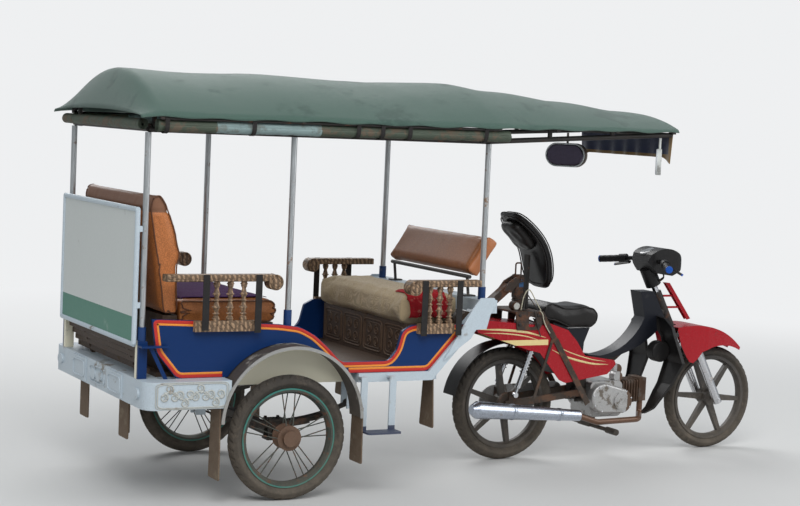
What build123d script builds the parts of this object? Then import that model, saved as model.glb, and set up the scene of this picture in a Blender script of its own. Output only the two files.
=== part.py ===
from build123d import *
from math import cos, degrees, hypot, radians, sin, sqrt, tan
import os

# Passenger carriage with a cloth roof, hinged on an underbone motorcycle.
# Millimetres. +X is forward, +Y is the left side, +Z is up.
# Places along X are measured from the carriage axle, places along Z from the ground,
# and the whole vehicle is moved at the end so that its box is centred on the origin.

# Clearances between mating pieces: a running fit, and pieces that rest on each other
FIT = 0.05
SEAT_GAP = 0.3

# Driving dimensions of the carriage
WHEEL_R = 274.0
POST_X = (-654.0, 11.0, 984.0)
POST_R = 13.0
POST_TOP = 1573.0
FLOOR_Z = 541.0
FLOOR_T = 18.0
FLOOR_REAR = -578.0
BEAM = 40.0
SILL_FRONT = 700.0
NOSE_X = 1000.0
NOSE_Z = 860.0
PANEL_T = 18.0
PANEL_TOP = 772.0
REAR_REACH = 725.0
ROOF_EDGE_Z = 1650.0
ROOF_CREST_Z = 1846.0
ROOF_FRONT = 2100.0

# Widths of the carriage, each half width stacked on the one inside it
SEAT_HALF = 448.0
INNER_BEAM_Y = SEAT_HALF + 12.0
POST_Y = INNER_BEAM_Y + 40.0
SILL_Y = POST_Y + 30.0
PANEL_OUT = SILL_Y + 6.0
TRACK_HALF = SILL_Y + 34.0
ROOF_HALF = POST_Y + 106.0
ROOF_FRONT_HALF = ROOF_HALF - 170.0

# Driving dimensions of the motorcycle and of the hinge between the two
REAR_AXLE_X = 1427.0
WHEELBASE = 1265.0
REAR_R = 281.0
FRONT_R = 271.0
RAKE = 28.0
FORK_OFFSET = 59.0
KINGPIN_X = 1484.0
PITCH_Z = 905.0
SLOPE_FOOT = (SILL_FRONT, FLOOR_Z)
SLOPE_HEAD = (NOSE_X - 60.0, NOSE_Z - 60.0)

# The box round the tail
BUMPER_X = -675.0
BUMPER_HALF = TRACK_HALF + 65.0
BUMPER_Z = (423.0, FLOOR_Z)
BUMPER_W = 94.0
BUMPER_T = 4.0

FRONT_AXLE_X = REAR_AXLE_X + WHEELBASE
FRONT_REACH = FRONT_AXLE_X + FRONT_R
CENTRE_X = (FRONT_REACH - REAR_REACH) / 2


def block(x, y, z):
    """A box between three pairs of coordinates."""
    centre = Pos(sum(x) / 2, sum(y) / 2, sum(z) / 2)
    return centre * Box(abs(x[1] - x[0]), abs(y[1] - y[0]), abs(z[1] - z[0]))


def rod(a, b, r, bore=0.0):
    """A round bar or tube of radius r from point a to point b."""
    along = Vector(*b) - Vector(*a)
    end = Plane(origin=Vector(*a), z_dir=along)
    ring = Circle(r) - Circle(bore) if bore else Circle(r)
    return extrude(end * ring, along.length)


def bar(a, b, wide, deep):
    """A rectangular bar from a to b, wide across Y and deep at right angles to that."""
    along = Vector(*b) - Vector(*a)
    end = Plane(origin=Vector(*a), x_dir=(0, 1, 0), z_dir=along)
    return extrude(end * Rectangle(wide, deep), along.length)


def outline(points, radius=0.0):
    """A closed face from (x, z) points, every corner rounded to one radius."""
    face = make_face(Polyline(*points, close=True))
    return fillet(face.vertices(), radius) if radius else face


def plate(face, y):
    """A face drawn in x and z, made as thick as the pair y."""
    low, high = min(y), max(y)
    return Pos(0, high, 0) * extrude(Plane.XZ * face, high - low)


def across(face, x, thick):
    """A face drawn in y and z, made thick forward from x."""
    return extrude(Plane(origin=(x, 0, 0), x_dir=(0, 1, 0), z_dir=(1, 0, 0)) * face, thick)


def both_sides(shape):
    """A right-hand piece and its mirror image on the left."""
    return shape + mirror(shape, Plane.XZ)


def left_of(shape):
    """The left-hand twin of a right-hand piece."""
    return mirror(shape, Plane.XZ)


def turned(section):
    """A solid of revolution about Y from a section drawn as (radius, y)."""
    return revolve(section, Axis.Y)


def bent_pipe(points, radii, r):
    """A round pipe along straight runs joined by tangent arcs."""
    path = FilletPolyline(*points, radius=radii)
    return sweep(Plane(origin=path @ 0, z_dir=path % 0) * Circle(r), path)


def slope_x(z, off=0.0):
    """Where the rising line under the front seat passes height z, off above that line."""
    run = SLOPE_HEAD[0] - SLOPE_FOOT[0]
    rise = SLOPE_HEAD[1] - SLOPE_FOOT[1]
    length = hypot(run, rise)
    along = (z - SLOPE_FOOT[1] - off * run / length) / rise
    return SLOPE_FOOT[0] + along * run - off * rise / length


# Wheels

RIM_WALL = 4.0
BEAD_DEPTH = 11.0

# width, flange radius and tread width of each kind of tyre and rim
CARRIAGE_TYRE = dict(radius=WHEEL_R, flange=218.0, width=76.0, tread=54.0, seat=44.0)
REAR_TYRE = dict(radius=REAR_R, flange=222.0, width=80.0, tread=56.0, seat=46.0)
FRONT_TYRE = dict(radius=FRONT_R, flange=222.0, width=66.0, tread=46.0, seat=40.0)


def tyre(radius, flange, width, tread, seat):
    """A tyre: its bead between the rim's flanges, round side walls, crowned tread."""
    bead = flange - BEAD_DEPTH
    drop = (radius - flange) * 0.22
    half = seat / 2 - SEAT_GAP
    low = (flange + 1.5, half)
    shoulder = (radius - drop, tread / 2)
    bulge = (flange + (radius - flange) * 0.42, width / 2)
    edge = Polyline((bead, -half), (bead, half), low)
    wall = ThreePointArc(low, bulge, shoulder)
    crown = ThreePointArc(shoulder, (radius, 0), (shoulder[0], -shoulder[1]))
    far = ThreePointArc((shoulder[0], -shoulder[1]), (bulge[0], -bulge[1]), (low[0], -low[1]))
    last = Line((low[0], -low[1]), (bead, -half))
    return turned(make_face(Curve() + [edge, wall, crown, far, last]))


def rim_hoop(flange, seat):
    """A rolled rim: two flanges, the bead seat and a shallow well."""
    bead = flange - BEAD_DEPTH - SEAT_GAP
    out = seat / 2 + RIM_WALL
    well = seat * 0.22
    depth = 9.0
    points = [
        (flange, out), (flange, seat / 2), (bead, seat / 2), (bead - depth, well),
        (bead - depth, -well), (bead, -seat / 2), (flange, -seat / 2), (flange, -out),
        (bead - RIM_WALL, -out), (bead - depth - RIM_WALL, -well),
        (bead - depth - RIM_WALL, well), (bead - RIM_WALL, out),
    ]
    return turned(make_face(Polyline(*points, close=True)))


HUB_FLANGE_R = 55.0
HUB_BARREL_R = 30.0
HUB_FLANGE_Y = 30.0
HUB_HALF = 38.0
HUB_CAP_R = 35.0
HUB_CAP_T = 13.0
STUB_R = 10.0
SPOKE_R = 2.6
SPOKE_PAIRS = 10


def carriage_rim(side):
    """A wire-spoked rim about the origin, its cap towards the given side."""
    hoop = rim_hoop(CARRIAGE_TYRE["flange"], CARRIAGE_TYRE["seat"])
    hub = turned(Pos(HUB_BARREL_R / 2, 0) * Rectangle(HUB_BARREL_R, 2 * HUB_HALF))
    for y in (-HUB_FLANGE_Y, HUB_FLANGE_Y):
        hub += Pos(0, y, 0) * Rot(90, 0, 0) * Cylinder(HUB_FLANGE_R, 5)
    hub += Pos(0, side * (HUB_HALF + HUB_CAP_T / 2), 0) * Rot(90, 0, 0) * Cylinder(HUB_CAP_R, HUB_CAP_T)
    well = CARRIAGE_TYRE["flange"] - BEAD_DEPTH - 11.0
    spokes = []
    for row in (-1, 1):
        for n in range(SPOKE_PAIRS):
            turn = 360 / SPOKE_PAIRS * (n + (0.25 if row > 0 else 0.0))
            foot = Vector(HUB_FLANGE_R - 8, row * HUB_FLANGE_Y, 0).rotate(Axis.Y, turn)
            tip = Vector(well, row * 5, 0).rotate(Axis.Y, turn + (9 if n % 2 else -9))
            spokes.append(rod(foot, tip, SPOKE_R))
    wheel = hoop + hub + spokes
    bore = Pos(0, -side * 5, 0) * Rot(90, 0, 0) * Cylinder(STUB_R + FIT, 2 * HUB_HALF + 10)
    return wheel - bore


CAST_SPOKES = 6
CAST_HUB_R = 42.0
CAST_HUB_HALF = 40.0
AXLE_R = 6.0


def cast_rim(kind, spin):
    """A cast wheel: hub, six tapered arms and the rim, with a bore for its axle."""
    hoop = rim_hoop(kind["flange"], kind["seat"])
    reach = kind["flange"] - BEAD_DEPTH - 8.0
    arm = outline([(CAST_HUB_R - 8, -17), (reach, -11), (reach, 11), (CAST_HUB_R - 8, 17)])
    arm = extrude(Plane.XZ * arm, 12, both=True)
    wheel = hoop + Rot(90, 0, 0) * Cylinder(CAST_HUB_R, 2 * CAST_HUB_HALF)
    wheel += [Rot(0, spin + 360 / CAST_SPOKES * n, 0) * arm for n in range(CAST_SPOKES)]
    return wheel - Rot(90, 0, 0) * Cylinder(AXLE_R + FIT, 4 * CAST_HUB_HALF)


def carriage_wheel_place(side):
    """Where a carriage wheel stands: -1 is the right wheel, 1 the left."""
    return Pos(0, side * TRACK_HALF, WHEEL_R)


# Carriage: running gear

AXLE_BEAM = 44.0
AXLE_BEAM_HALF = TRACK_HALF - HUB_HALF - 4.0
SPRING_Y = INNER_BEAM_Y - 35.0
SPRING_W = 50.0
SPRING_HALF = 360.0
LEAF_T = 7.0
SPRING_RISE = 70.0
HANGER_T = 8.0
SILL_REAR = 345.0
BEAM_BOTTOM = FLOOR_Z - BEAM


def axle():
    """A square beam with a round stub at each end, on which the wheels turn."""
    beam = block((-AXLE_BEAM / 2, AXLE_BEAM / 2), (-AXLE_BEAM_HALF, AXLE_BEAM_HALF),
                 (WHEEL_R - AXLE_BEAM / 2, WHEEL_R + AXLE_BEAM / 2))
    tip = TRACK_HALF + HUB_HALF - 2.0
    return beam + rod((0, -tip, WHEEL_R), (0, tip, WHEEL_R), STUB_R)


def spring_arc(half, base, thick):
    """One leaf, bowed down to the axle: an arc of constant thickness in x and z."""
    radius = (SPRING_HALF ** 2 + SPRING_RISE ** 2) / (2 * SPRING_RISE)
    centre = base + radius
    reach = degrees(half / radius)
    ring = Circle(radius) - Circle(radius - thick)
    wedge_z = radius * cos(radians(reach))
    cut = Pos(0, -(wedge_z + radius) / 2 - 1) * Rectangle(2 * half, radius - wedge_z + 60)
    return Pos(0, centre) * (ring & cut)


def leaf_springs():
    """Four leaves each side, clamped on the axle beam, with eyes in hangers."""
    base = WHEEL_R + AXLE_BEAM / 2
    stack = None
    for n, share in enumerate((0.45, 0.65, 0.82, 1.0)):
        leaf = spring_arc(SPRING_HALF * share, base + n * LEAF_T, LEAF_T)
        stack = leaf if stack is None else stack + leaf
    half = SPRING_W / 2
    spring = plate(stack, (SPRING_Y - half, SPRING_Y + half))
    eye_z = base + 3 * LEAF_T + SPRING_RISE + LEAF_T / 2
    for x in (-SPRING_HALF, SPRING_HALF):
        spring += rod((x, SPRING_Y - half, eye_z), (x, SPRING_Y + half, eye_z), 14)
    for x in (-30, 30):
        spring += block((x - 6, x + 6), (SPRING_Y - half - 8, SPRING_Y - half), (base - 50, base + 45))
        spring += block((x - 6, x + 6), (SPRING_Y + half, SPRING_Y + half + 8), (base - 50, base + 45))
    top = base + 4 * LEAF_T
    spring += block((-42, 42), (SPRING_Y - half - 8, SPRING_Y + half + 8), (top, top + 10))
    spring += block((-42, 42), (SPRING_Y - half - 8, SPRING_Y + half + 8), (base - 54, base - 44))
    return both_sides(spring)


def spring_eye_z():
    """Height of the spring eyes, where the hangers hold them."""
    return WHEEL_R + AXLE_BEAM / 2 + 3.5 * LEAF_T + SPRING_RISE


# Carriage: frame

GUSSET_T = 8.0
FRAME_REAR = BUMPER_X + BUMPER_W + SEAT_GAP
CROSS_X = (FRAME_REAR + BEAM / 2, -SPRING_HALF - 60, 365.0, 729.0)
NOSE_DEPTH = 90.0


def rising_beam(rear, y):
    """A side beam: level from its rear end, then rising along the slope to the nose."""
    low = BEAM_BOTTOM
    high = NOSE_Z - 20
    face = outline([
        (rear, low), (slope_x(low, -BEAM), low), (slope_x(high, -BEAM), high), (slope_x(high), high),
        (slope_x(FLOOR_Z), FLOOR_Z), (rear, FLOOR_Z),
    ])
    return plate(face, (y - BEAM / 2, y + BEAM / 2))


def sill_beam():
    """The white side beam on the right, with its stepped gusset at the nose."""
    y = -SILL_Y
    half = BEAM / 2
    beam = rising_beam(SILL_REAR, y)
    steps = outline([
        (770, 590), (872, 664), (905, 686), (930, 727), (985, 729), (1003, 795),
        (1035, 845), (1020, NOSE_Z + 12), (950, NOSE_Z + 12), (905, 815),
    ])
    return beam + plate(steps, (y - half - GUSSET_T, y - half))


def chassis_frame():
    """Ladder of box tubes, the rising front beams, the nose beam and the hangers."""
    frame = rising_beam(FRAME_REAR, -INNER_BEAM_Y) + sill_beam()
    for x in (-SPRING_HALF, SPRING_HALF):
        for side in (-1, 1):
            y = -SPRING_Y + side * (SPRING_W / 2 + SEAT_GAP + HANGER_T / 2)
            hanger = block((x - 22, x + 22), (y - HANGER_T / 2, y + HANGER_T / 2),
                           (spring_eye_z() - 22, BEAM_BOTTOM + 5))
            frame += hanger
        frame += block((x - 22, x + 22), (-SPRING_Y - 33, -SPRING_Y + 33), (BEAM_BOTTOM - 8, BEAM_BOTTOM + 4))
    frame = both_sides(frame)
    for x in CROSS_X:
        reach = SILL_Y if x > SILL_REAR else INNER_BEAM_Y
        frame += block((x - 20, x + 20), (-reach, reach), (BEAM_BOTTOM, FLOOR_Z))
    nose_y = SILL_Y + BEAM / 2
    frame += block((NOSE_X - NOSE_DEPTH + 40, NOSE_X + 40), (-nose_y, nose_y), (NOSE_Z - NOSE_H, NOSE_Z))
    return frame


LUG_T = 8.0
LUG_GAP = 46.0
PITCH_PIN_R = 8.0


ARM_W = 46.0
ARM_H = 40.0
ARM_KNEE_X = 1325.0
NOSE_H = 60.0
BRACE = 30.0
BRACE_Y = 240.0


def drawbar():
    """The arm from under the nose to the hinge: level, then rising, with two lugs."""
    level = NOSE_Z - NOSE_H - SEAT_GAP - ARM_H / 2
    start = (NOSE_X - NOSE_DEPTH + 45, 0, level)
    knee = (ARM_KNEE_X, 0, level + 2)
    top = (KINGPIN_X - 55, 0, PITCH_Z - 40)
    arm = bar(start, (knee[0] + 8, 0, knee[2]), ARM_W, ARM_H) + bar(knee, top, ARM_W, ARM_H - 2)
    lug = outline([
        (top[0] - 45, top[2] - 20), (top[0] - 10, top[2] + 26), (KINGPIN_X - 4, PITCH_Z + 20),
        (KINGPIN_X + 18, PITCH_Z + 8), (KINGPIN_X + 18, PITCH_Z - 14), (KINGPIN_X - 12, PITCH_Z - 22),
        (top[0], top[2] - 30),
    ])
    for side in (-1, 1):
        inner = side * LUG_GAP / 2
        arm += plate(lug, (inner, inner + side * LUG_T))
    for side in (-1, 1):
        foot = (NOSE_X + 38, side * BRACE_Y, NOSE_Z - NOSE_H + BRACE / 2)
        arm += bar(foot, (ARM_KNEE_X - 12, side * 10, knee[2]), BRACE, BRACE)
    pin = rod((KINGPIN_X, -80, PITCH_Z), (KINGPIN_X, 80, PITCH_Z), PITCH_PIN_R + FIT)
    slot = block((KINGPIN_X - 34, KINGPIN_X + 60), (-LUG_GAP / 2, LUG_GAP / 2), (PITCH_Z - 60, PITCH_Z + 60))
    behind = block((0, NOSE_X + 40 + SEAT_GAP), (-SEAT_HALF, SEAT_HALF),
                   (NOSE_Z - NOSE_H - SEAT_GAP, 2 * NOSE_Z))
    return arm - pin - slot - behind


# Carriage: body panels

ARCH_R = 333.0
ARCH_Z = 345.0
ARCH_T = 4.0
ARCH_OUT = TRACK_HALF + 71.0
ARCH_IN = POST_Y + 6.0
BOARD_LOW = 500.0


def arch_edge(grow=0.0):
    """A disc in x and z as large as the wheel arch."""
    return Pos(0, ARCH_Z) * Circle(ARCH_R + grow)


def side_panel():
    """The blue panel on the right, low at the doorway and cut round the wheel arch."""
    bottom = FLOOR_Z + SEAT_GAP
    shape = outline([
        (-622, PANEL_TOP + 22), (-443, PANEL_TOP + 14), (-40, PANEL_TOP - 8), (60, PANEL_TOP - 22),
        (130, PANEL_TOP - 58), (200, 655), (262, 592), (500, 592), (540, 640),
        (562, 725), (610, 750), (slope_x(750, 2), 750), (slope_x(bottom, 2), bottom), (-505, bottom), (-600, 655),
    ])
    shape = fillet(shape.vertices().sort_by(Axis.X)[4:-2], 24)
    shape -= arch_edge(ARCH_T + 0.5)
    return plate(shape, (-PANEL_OUT, -PANEL_OUT + PANEL_T))


def wheel_board():
    """The cream board between the wheel arch and the seat base, on the right."""
    shape = arch_edge() & Pos(0, BOARD_LOW + ARCH_R) * Rectangle(3 * ARCH_R, 2 * ARCH_R)
    return plate(shape, (-ARCH_IN + SEAT_GAP, -INNER_BEAM_Y - BEAM / 2 - SEAT_GAP))


def mudguards():
    """Two arched guards over the wheels, each with a rolled outer lip."""
    ring = Circle(ARCH_R) - Circle(ARCH_R - ARCH_T)
    keep = Pos(0, ARCH_R / 2 + 20) * Rectangle(3 * ARCH_R, ARCH_R + 20)
    lip = Circle(ARCH_R + 2) - Circle(ARCH_R - 12)
    guard = plate(Pos(0, ARCH_Z) * (ring & keep), (-ARCH_OUT, -ARCH_IN))
    guard += plate(Pos(0, ARCH_Z) * (lip & keep), (-ARCH_OUT, -ARCH_OUT + LIP_T))
    return both_sides(guard)


FLAP_T = 6.0
FLAP_OFF = FLAP_T / 2 + SEAT_GAP
LIP_T = 5.0

# x, width from y to y, top, bottom and taper towards the top of each mud flap on the right
FLAPS = (
    (-ARCH_R - FLAP_OFF, ARCH_IN + 6, ARCH_OUT - LIP_T - SEAT_GAP, 420, 112, 8),
    (ARCH_R + FLAP_OFF, ARCH_IN + 6, ARCH_OUT - LIP_T - SEAT_GAP, 400, 150, 8),
    (-640, 215, 330, BUMPER_Z[0] - SEAT_GAP, 250, 0),
    (CROSS_X[-1] + BEAM / 2 + FLAP_OFF, SILL_Y - 145, SILL_Y - 15, FLOOR_Z - 18, 272, 22),
)
FLAP_CORNER = 10.0


def flap(x, inner, outer, high, low, taper):
    """One hanging flap across the vehicle, wider towards its foot."""
    face = outline([(-inner - taper, high), (-inner, low), (-outer, low), (-outer + taper, high)])
    face = fillet(face.vertices().group_by(Axis.Y)[0], FLAP_CORNER)
    return extrude(Plane(origin=(x, 0, 0), x_dir=(0, 1, 0), z_dir=(1, 0, 0)) * face, FLAP_T / 2, both=True)


def mud_flaps():
    """Hanging flaps: two at each wheel, one under the bumper and one under the nose."""
    flaps = [flap(*row) for row in FLAPS]
    return both_sides(flaps[0] + flaps[1:])


def floor_deck():
    """The floor, with its front part sloping up under the front seat."""
    half = INNER_BEAM_Y + BEAM / 2 - 2
    low = FLOOR_Z + SEAT_GAP
    high = low + FLOOR_T
    top = SLOPE_HEAD[1]
    face = outline([
        (FLOOR_REAR, low), (slope_x(low, SEAT_GAP), low), (slope_x(top, SEAT_GAP), top),
        (slope_x(top, SEAT_GAP + FLOOR_T), top), (slope_x(high, SEAT_GAP + FLOOR_T), high), (FLOOR_REAR, high),
    ])
    return plate(face, (-half, half))


BUMPER_FRONT = -292.0
BUMPER_CORNER = 60.0
BUMPER_RIBS = (-150.0, -60.0, 60.0, 150.0)
# middle and half width of each raised panel on the right of the rear face
BUMPER_PANELS = ((-246.0, 92.0),)


def bumper():
    """The white box round the tail: three deep channels, open towards the inside."""
    x = (BUMPER_X, BUMPER_FRONT)
    outer = block(x, (-BUMPER_HALF, BUMPER_HALF), BUMPER_Z)
    outer = fillet(outer.edges().filter_by(Axis.Z).group_by(Axis.X)[0], BUMPER_CORNER)
    inner_y = BUMPER_HALF - BUMPER_W
    core = block((BUMPER_X + BUMPER_W, x[1] + 1), (-inner_y, inner_y), (BUMPER_Z[0] - 1, BUMPER_Z[1] + 1))
    hollow = block((BUMPER_X + BUMPER_T, x[1] + 1), (BUMPER_T - BUMPER_HALF, BUMPER_HALF - BUMPER_T),
                   (BUMPER_Z[0] + BUMPER_T, BUMPER_Z[1] - BUMPER_T))
    hollow = fillet(hollow.edges().filter_by(Axis.Z).group_by(Axis.X)[0], BUMPER_CORNER - BUMPER_T)
    guard = plate(arch_edge(0.5), (-ARCH_OUT - 5, ARCH_OUT + 5))
    shape = outer - core - hollow - guard
    for y in BUMPER_RIBS:
        shape += block((BUMPER_X, BUMPER_X + BUMPER_W), (y - 2, y + 2), BUMPER_Z)
    middle = (BUMPER_Z[0] + BUMPER_Z[1]) / 2
    for y in (-BUMPER_HALF + 105, -40, 40, BUMPER_HALF - 105):
        boss = extrude(Plane(origin=(BUMPER_X - 10, y, middle), z_dir=(1, 0, 0)) * Ellipse(24, 34), 11)
        shape += boss
    for y, half in BUMPER_PANELS:
        panel = block((BUMPER_X - 6, BUMPER_X + 1), (y - half, y + half), (BUMPER_Z[0] + 8, BUMPER_Z[1] - 8))
        shape += both_sides(panel)
    return shape


def rear_shelf():
    """Dark slats on two brackets between the tail box and the sign board."""
    slats = None
    for n in range(4):
        x = -660 + 15 * n
        z = 668 - 30 * n
        slat = block((x, x + 12), (30 - POST_Y, POST_Y - 30), (z - 22, z))
        slats = slat if slats is None else slats + slat
    foot = BUMPER_Z[1] + SEAT_GAP
    strut = outline([(-668, 690), (-652, 690), (-590, foot), (-606, foot)])
    for y in (-300, 300):
        slats += plate(strut, (y - 12, y + 12))
    return slats


CORNER_W = 40.0


def corner_posts():
    """Blue rear corner posts under the roof posts, each with a flange and a strut."""
    x = POST_X[0]
    half = CORNER_W / 2
    post = block((x - half, x + half), (-POST_Y - half, -POST_Y + half), (BUMPER_Z[1] + SEAT_GAP, POSTS[0][1] - SEAT_GAP))
    post += block((x - half, x + 98), (-SILL_Y - 34, -PANEL_OUT - SEAT_GAP), (676, 684))
    post += block((x - half, x + half), (-SILL_Y - 34, -POST_Y), (676, 684))
    strut = outline([(-640, 684), (-622, 684), (-548, BUMPER_Z[1] + SEAT_GAP), (-566, BUMPER_Z[1] + SEAT_GAP)])
    post += plate(strut, (-SILL_Y - 14, -PANEL_OUT - SEAT_GAP))
    return both_sides(post)


SIGN_X = -687.0
SIGN_Z = (686.0, 1250.0)
SIGN_HALF = 498.0
SIGN_ARMS_Z = (850.0, 1170.0)
SIGN_TUBE = 11.0


def sign_board():
    """The blank board behind the rear posts."""
    return block((SIGN_X - 3, SIGN_X + 3), (-SIGN_HALF + 8, SIGN_HALF - 8), (SIGN_Z[0] + 8, SIGN_Z[1] - 8))


def sign_frame():
    """A tube frame round the board, with a slot for its edge."""
    low, high = SIGN_Z
    frame = rod((SIGN_X, -SIGN_HALF, low), (SIGN_X, -SIGN_HALF, high), SIGN_TUBE)
    frame += rod((SIGN_X, SIGN_HALF, low), (SIGN_X, SIGN_HALF, high), SIGN_TUBE)
    for z in SIGN_Z:
        frame += rod((SIGN_X, -SIGN_HALF, z), (SIGN_X, SIGN_HALF, z), SIGN_TUBE)
    inner, outer = sorted((POST_Y, SIGN_HALF))
    for z in SIGN_ARMS_Z:
        arm = block((SIGN_X, POST_X[0] - POST_R - SEAT_GAP), (-outer - 9, 9 - inner), (z - 12, z + 12))
        frame += both_sides(arm)
    slot = block((SIGN_X - 3.3, SIGN_X + 3.3), (-SIGN_HALF + 7.7, SIGN_HALF - 7.7), (low + 7.7, high - 7.7))
    return frame - slot


STEP_X = (358.0, 500.0)
STEP_PLATE_X = (ARCH_R + 13.0, 514.0)
STEP_Z = 293.0
STEP_IN = SILL_Y + 58.0
STEP_OUT = STEP_IN + 80.0
STEP_T = 8.0


def steps():
    """A hanging step below each doorway: two straps, a tread plate and a brace."""
    y = -SILL_Y
    step = None
    for x in STEP_X:
        strap = block((x - 16, x + 16), (-STEP_IN, 8 - STEP_IN), (STEP_Z - STEP_T, FLOOR_Z - 12))
        strap += block((x - 16, x + 16), (-STEP_IN, y - BEAM / 2 - SEAT_GAP), (FLOOR_Z - 20, FLOOR_Z - 12))
        step = strap if step is None else step + strap
    tread = outline([(STEP_PLATE_X[0], -STEP_OUT), (STEP_PLATE_X[1], -STEP_OUT),
                     (STEP_PLATE_X[1], -STEP_IN), (STEP_PLATE_X[0], -STEP_IN)])
    tread = fillet(tread.vertices().group_by(Axis.Y)[0], 18)
    step += Pos(0, 0, STEP_Z - STEP_T) * extrude(tread, STEP_T)
    return both_sides(step)


# Carriage: seats

SEAT_TOP = 862.0
REAR_SEAT_FRONT = -8.0
BACK_REAR = -541.0
BACK_FRONT = -476.0
BACK_LOW = 798.0


def rear_seat_base():
    """The closed box under the rear bench."""
    half = SEAT_HALF - 10
    base = FLOOR_Z + 2 * SEAT_GAP + FLOOR_T
    box = block((BACK_REAR, REAR_SEAT_FRONT - 22), (-half, half), (base, PANEL_TOP - 10))
    return box + block((BACK_REAR, BACK_FRONT), (-half, half), (base, BACK_LOW - SEAT_GAP))


def rear_seat_cushion():
    """The rear bench cushion, with a rounded front end."""
    low = PANEL_TOP - 10 + SEAT_GAP
    rear = BACK_FRONT + SEAT_GAP
    shape = outline([(rear, low), (REAR_SEAT_FRONT, low), (REAR_SEAT_FRONT, SEAT_TOP), (rear, SEAT_TOP)])
    shape = fillet(shape.vertices().group_by(Axis.X)[-1], 38)
    return plate(shape, (-SEAT_HALF, SEAT_HALF))


def rear_backrest():
    """The tall padded back, leaning rearward, rounded over at its top."""
    shape = outline([
        (BACK_REAR, BACK_LOW), (BACK_FRONT, BACK_LOW), (-483, 1000), (-466, 1056), (-499, 1179),
        (-545, 1285), (-575, 1318), (-606, 1308), (-616, 1262),
    ])
    return plate(shape, (-SEAT_HALF, SEAT_HALF))


FRONT_SEAT_REAR = 632.0
FRONT_SEAT_Z = 742.0


def front_seat_box():
    """The dark box of the rear-facing seat, on the sloping floor."""
    low = FLOOR_Z + SEAT_GAP + FLOOR_T + SEAT_GAP
    half = SEAT_HALF - 12
    off = SEAT_GAP + FLOOR_T + SEAT_GAP
    shape = outline([(FRONT_SEAT_REAR, low), (slope_x(low, off), low), (slope_x(FRONT_SEAT_Z, off), FRONT_SEAT_Z),
                     (FRONT_SEAT_REAR, FRONT_SEAT_Z)])
    return plate(shape, (-half, half))


def front_seat_cushion():
    """The thick loose cushion of the rear-facing seat."""
    low = FRONT_SEAT_Z + SEAT_GAP
    shape = outline([(592, low), (855, low), (905, 800), (905, 872), (592, 872)])
    shape = fillet(shape.vertices().group_by(Axis.X)[0], 30)
    return plate(shape, (-SEAT_HALF + 4, SEAT_HALF - 4))


BACK_FOOT = (955.0, 980.0)
BACK_LEAN = 33.0
BACK_H = 208.0
BACK_T = 72.0
BACK_HALF = SEAT_HALF - 36.0
BACK_ARM_Y = BACK_HALF - 45.0


def back_plane():
    """The sloping frame of the front backrest: x along its depth, y up its face."""
    return Plane(origin=(BACK_FOOT[0], 0, BACK_FOOT[1]),
                 x_dir=(cos(radians(BACK_LEAN)), 0, -sin(radians(BACK_LEAN))), z_dir=(0, -1, 0))


def front_backrest():
    """The padded slab that leans forward behind the rear-facing passengers."""
    slab = Pos(BACK_T / 2, BACK_H / 2) * RectangleRounded(BACK_T, BACK_H, 16)
    return extrude(back_plane() * slab, BACK_HALF, both=True)


def backrest_brackets():
    """Black struts that carry the front backrest on the nose beam."""
    seat = back_plane().from_local_coords(Vector(BACK_T / 2, -9 - SEAT_GAP, 0))
    arm = rod((NOSE_X - 10, -BACK_ARM_Y, NOSE_Z + 3), (seat.X, -BACK_ARM_Y, seat.Z), 7)
    arm += block((NOSE_X - 40, NOSE_X + 18), (-BACK_ARM_Y - 20, 20 - BACK_ARM_Y), (NOSE_Z + SEAT_GAP, NOSE_Z + 7))
    cross = rod((seat.X, -BACK_HALF + 20, seat.Z), (seat.X, BACK_HALF - 20, seat.Z), 9)
    slab = Pos(BACK_T / 2, BACK_H / 2) * Rectangle(BACK_T + 20, BACK_H + 2 * SEAT_GAP)
    return both_sides(arm) + cross - extrude(back_plane() * slab, 500, both=True)


# Carriage: armrests

# rail from x to x, rail height, baluster places, lower rail from x to x and its height
REAR_ARM = dict(rail=(-577, -80), top=984, balusters=(-344, -282, -220), foot=(-440, -142), foot_z=786)
FRONT_ARM = dict(rail=(602, 940), top=954, balusters=(686, 738, 790), foot=(632, 812), foot_z=758)
RAIL_H = 30.0
RAIL_Y = (POST_Y + 17.0, POST_Y + 73.0)
RAIL_ROUND = 6.0
FOOT_Y = (PANEL_OUT + SEAT_GAP, POST_Y + 65.0)
VOLUTE_R = 34.0
STRAP_T = 3.0
STRAP_W = 30.0

# height share and radius of each ring of a turned baluster
BALUSTER = ((0.0, 14), (0.10, 14), (0.14, 8), (0.18, 11), (0.22, 8), (0.34, 14.4), (0.48, 8),
            (0.52, 11), (0.56, 8), (0.68, 14), (0.82, 8), (0.88, 13), (1.0, 13))


def baluster(height):
    """A turned wooden spindle standing on the origin."""
    points = [(0, 0)] + [(r, share * height) for share, r in BALUSTER] + [(0, height)]
    return revolve(Plane.XZ * make_face(Polyline(*points, close=True)), Axis.Z)


def armrest(rail, top, balusters, foot, foot_z):
    """Top rail with a volute, three turned spindles and a lower rail, right side."""
    y = (-RAIL_Y[1], -RAIL_Y[0])
    arm = block(rail, y, (top - RAIL_H, top))
    arm = fillet(arm.edges().filter_by(Axis.X), RAIL_ROUND)
    scroll_x = rail[1] if rail[0] < 0 else rail[0]
    hub = (scroll_x, top - VOLUTE_R)
    arm += plate(Pos(*hub) * Circle(VOLUTE_R), y)
    arm += plate(Pos(*hub) * Circle(VOLUTE_R / 2), (y[0] - 4, y[1] + 4))
    arm += block(foot, (-FOOT_Y[1], -FOOT_Y[0]), (foot_z - 45, foot_z))
    mid = -(FOOT_Y[0] + FOOT_Y[1]) / 2
    height = top - RAIL_H - foot_z
    for x in balusters:
        arm += Pos(x, mid, foot_z) * baluster(height)
    return arm


def rear_armrests():
    """The pair beside the rear bench."""
    return both_sides(armrest(**REAR_ARM))


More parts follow.
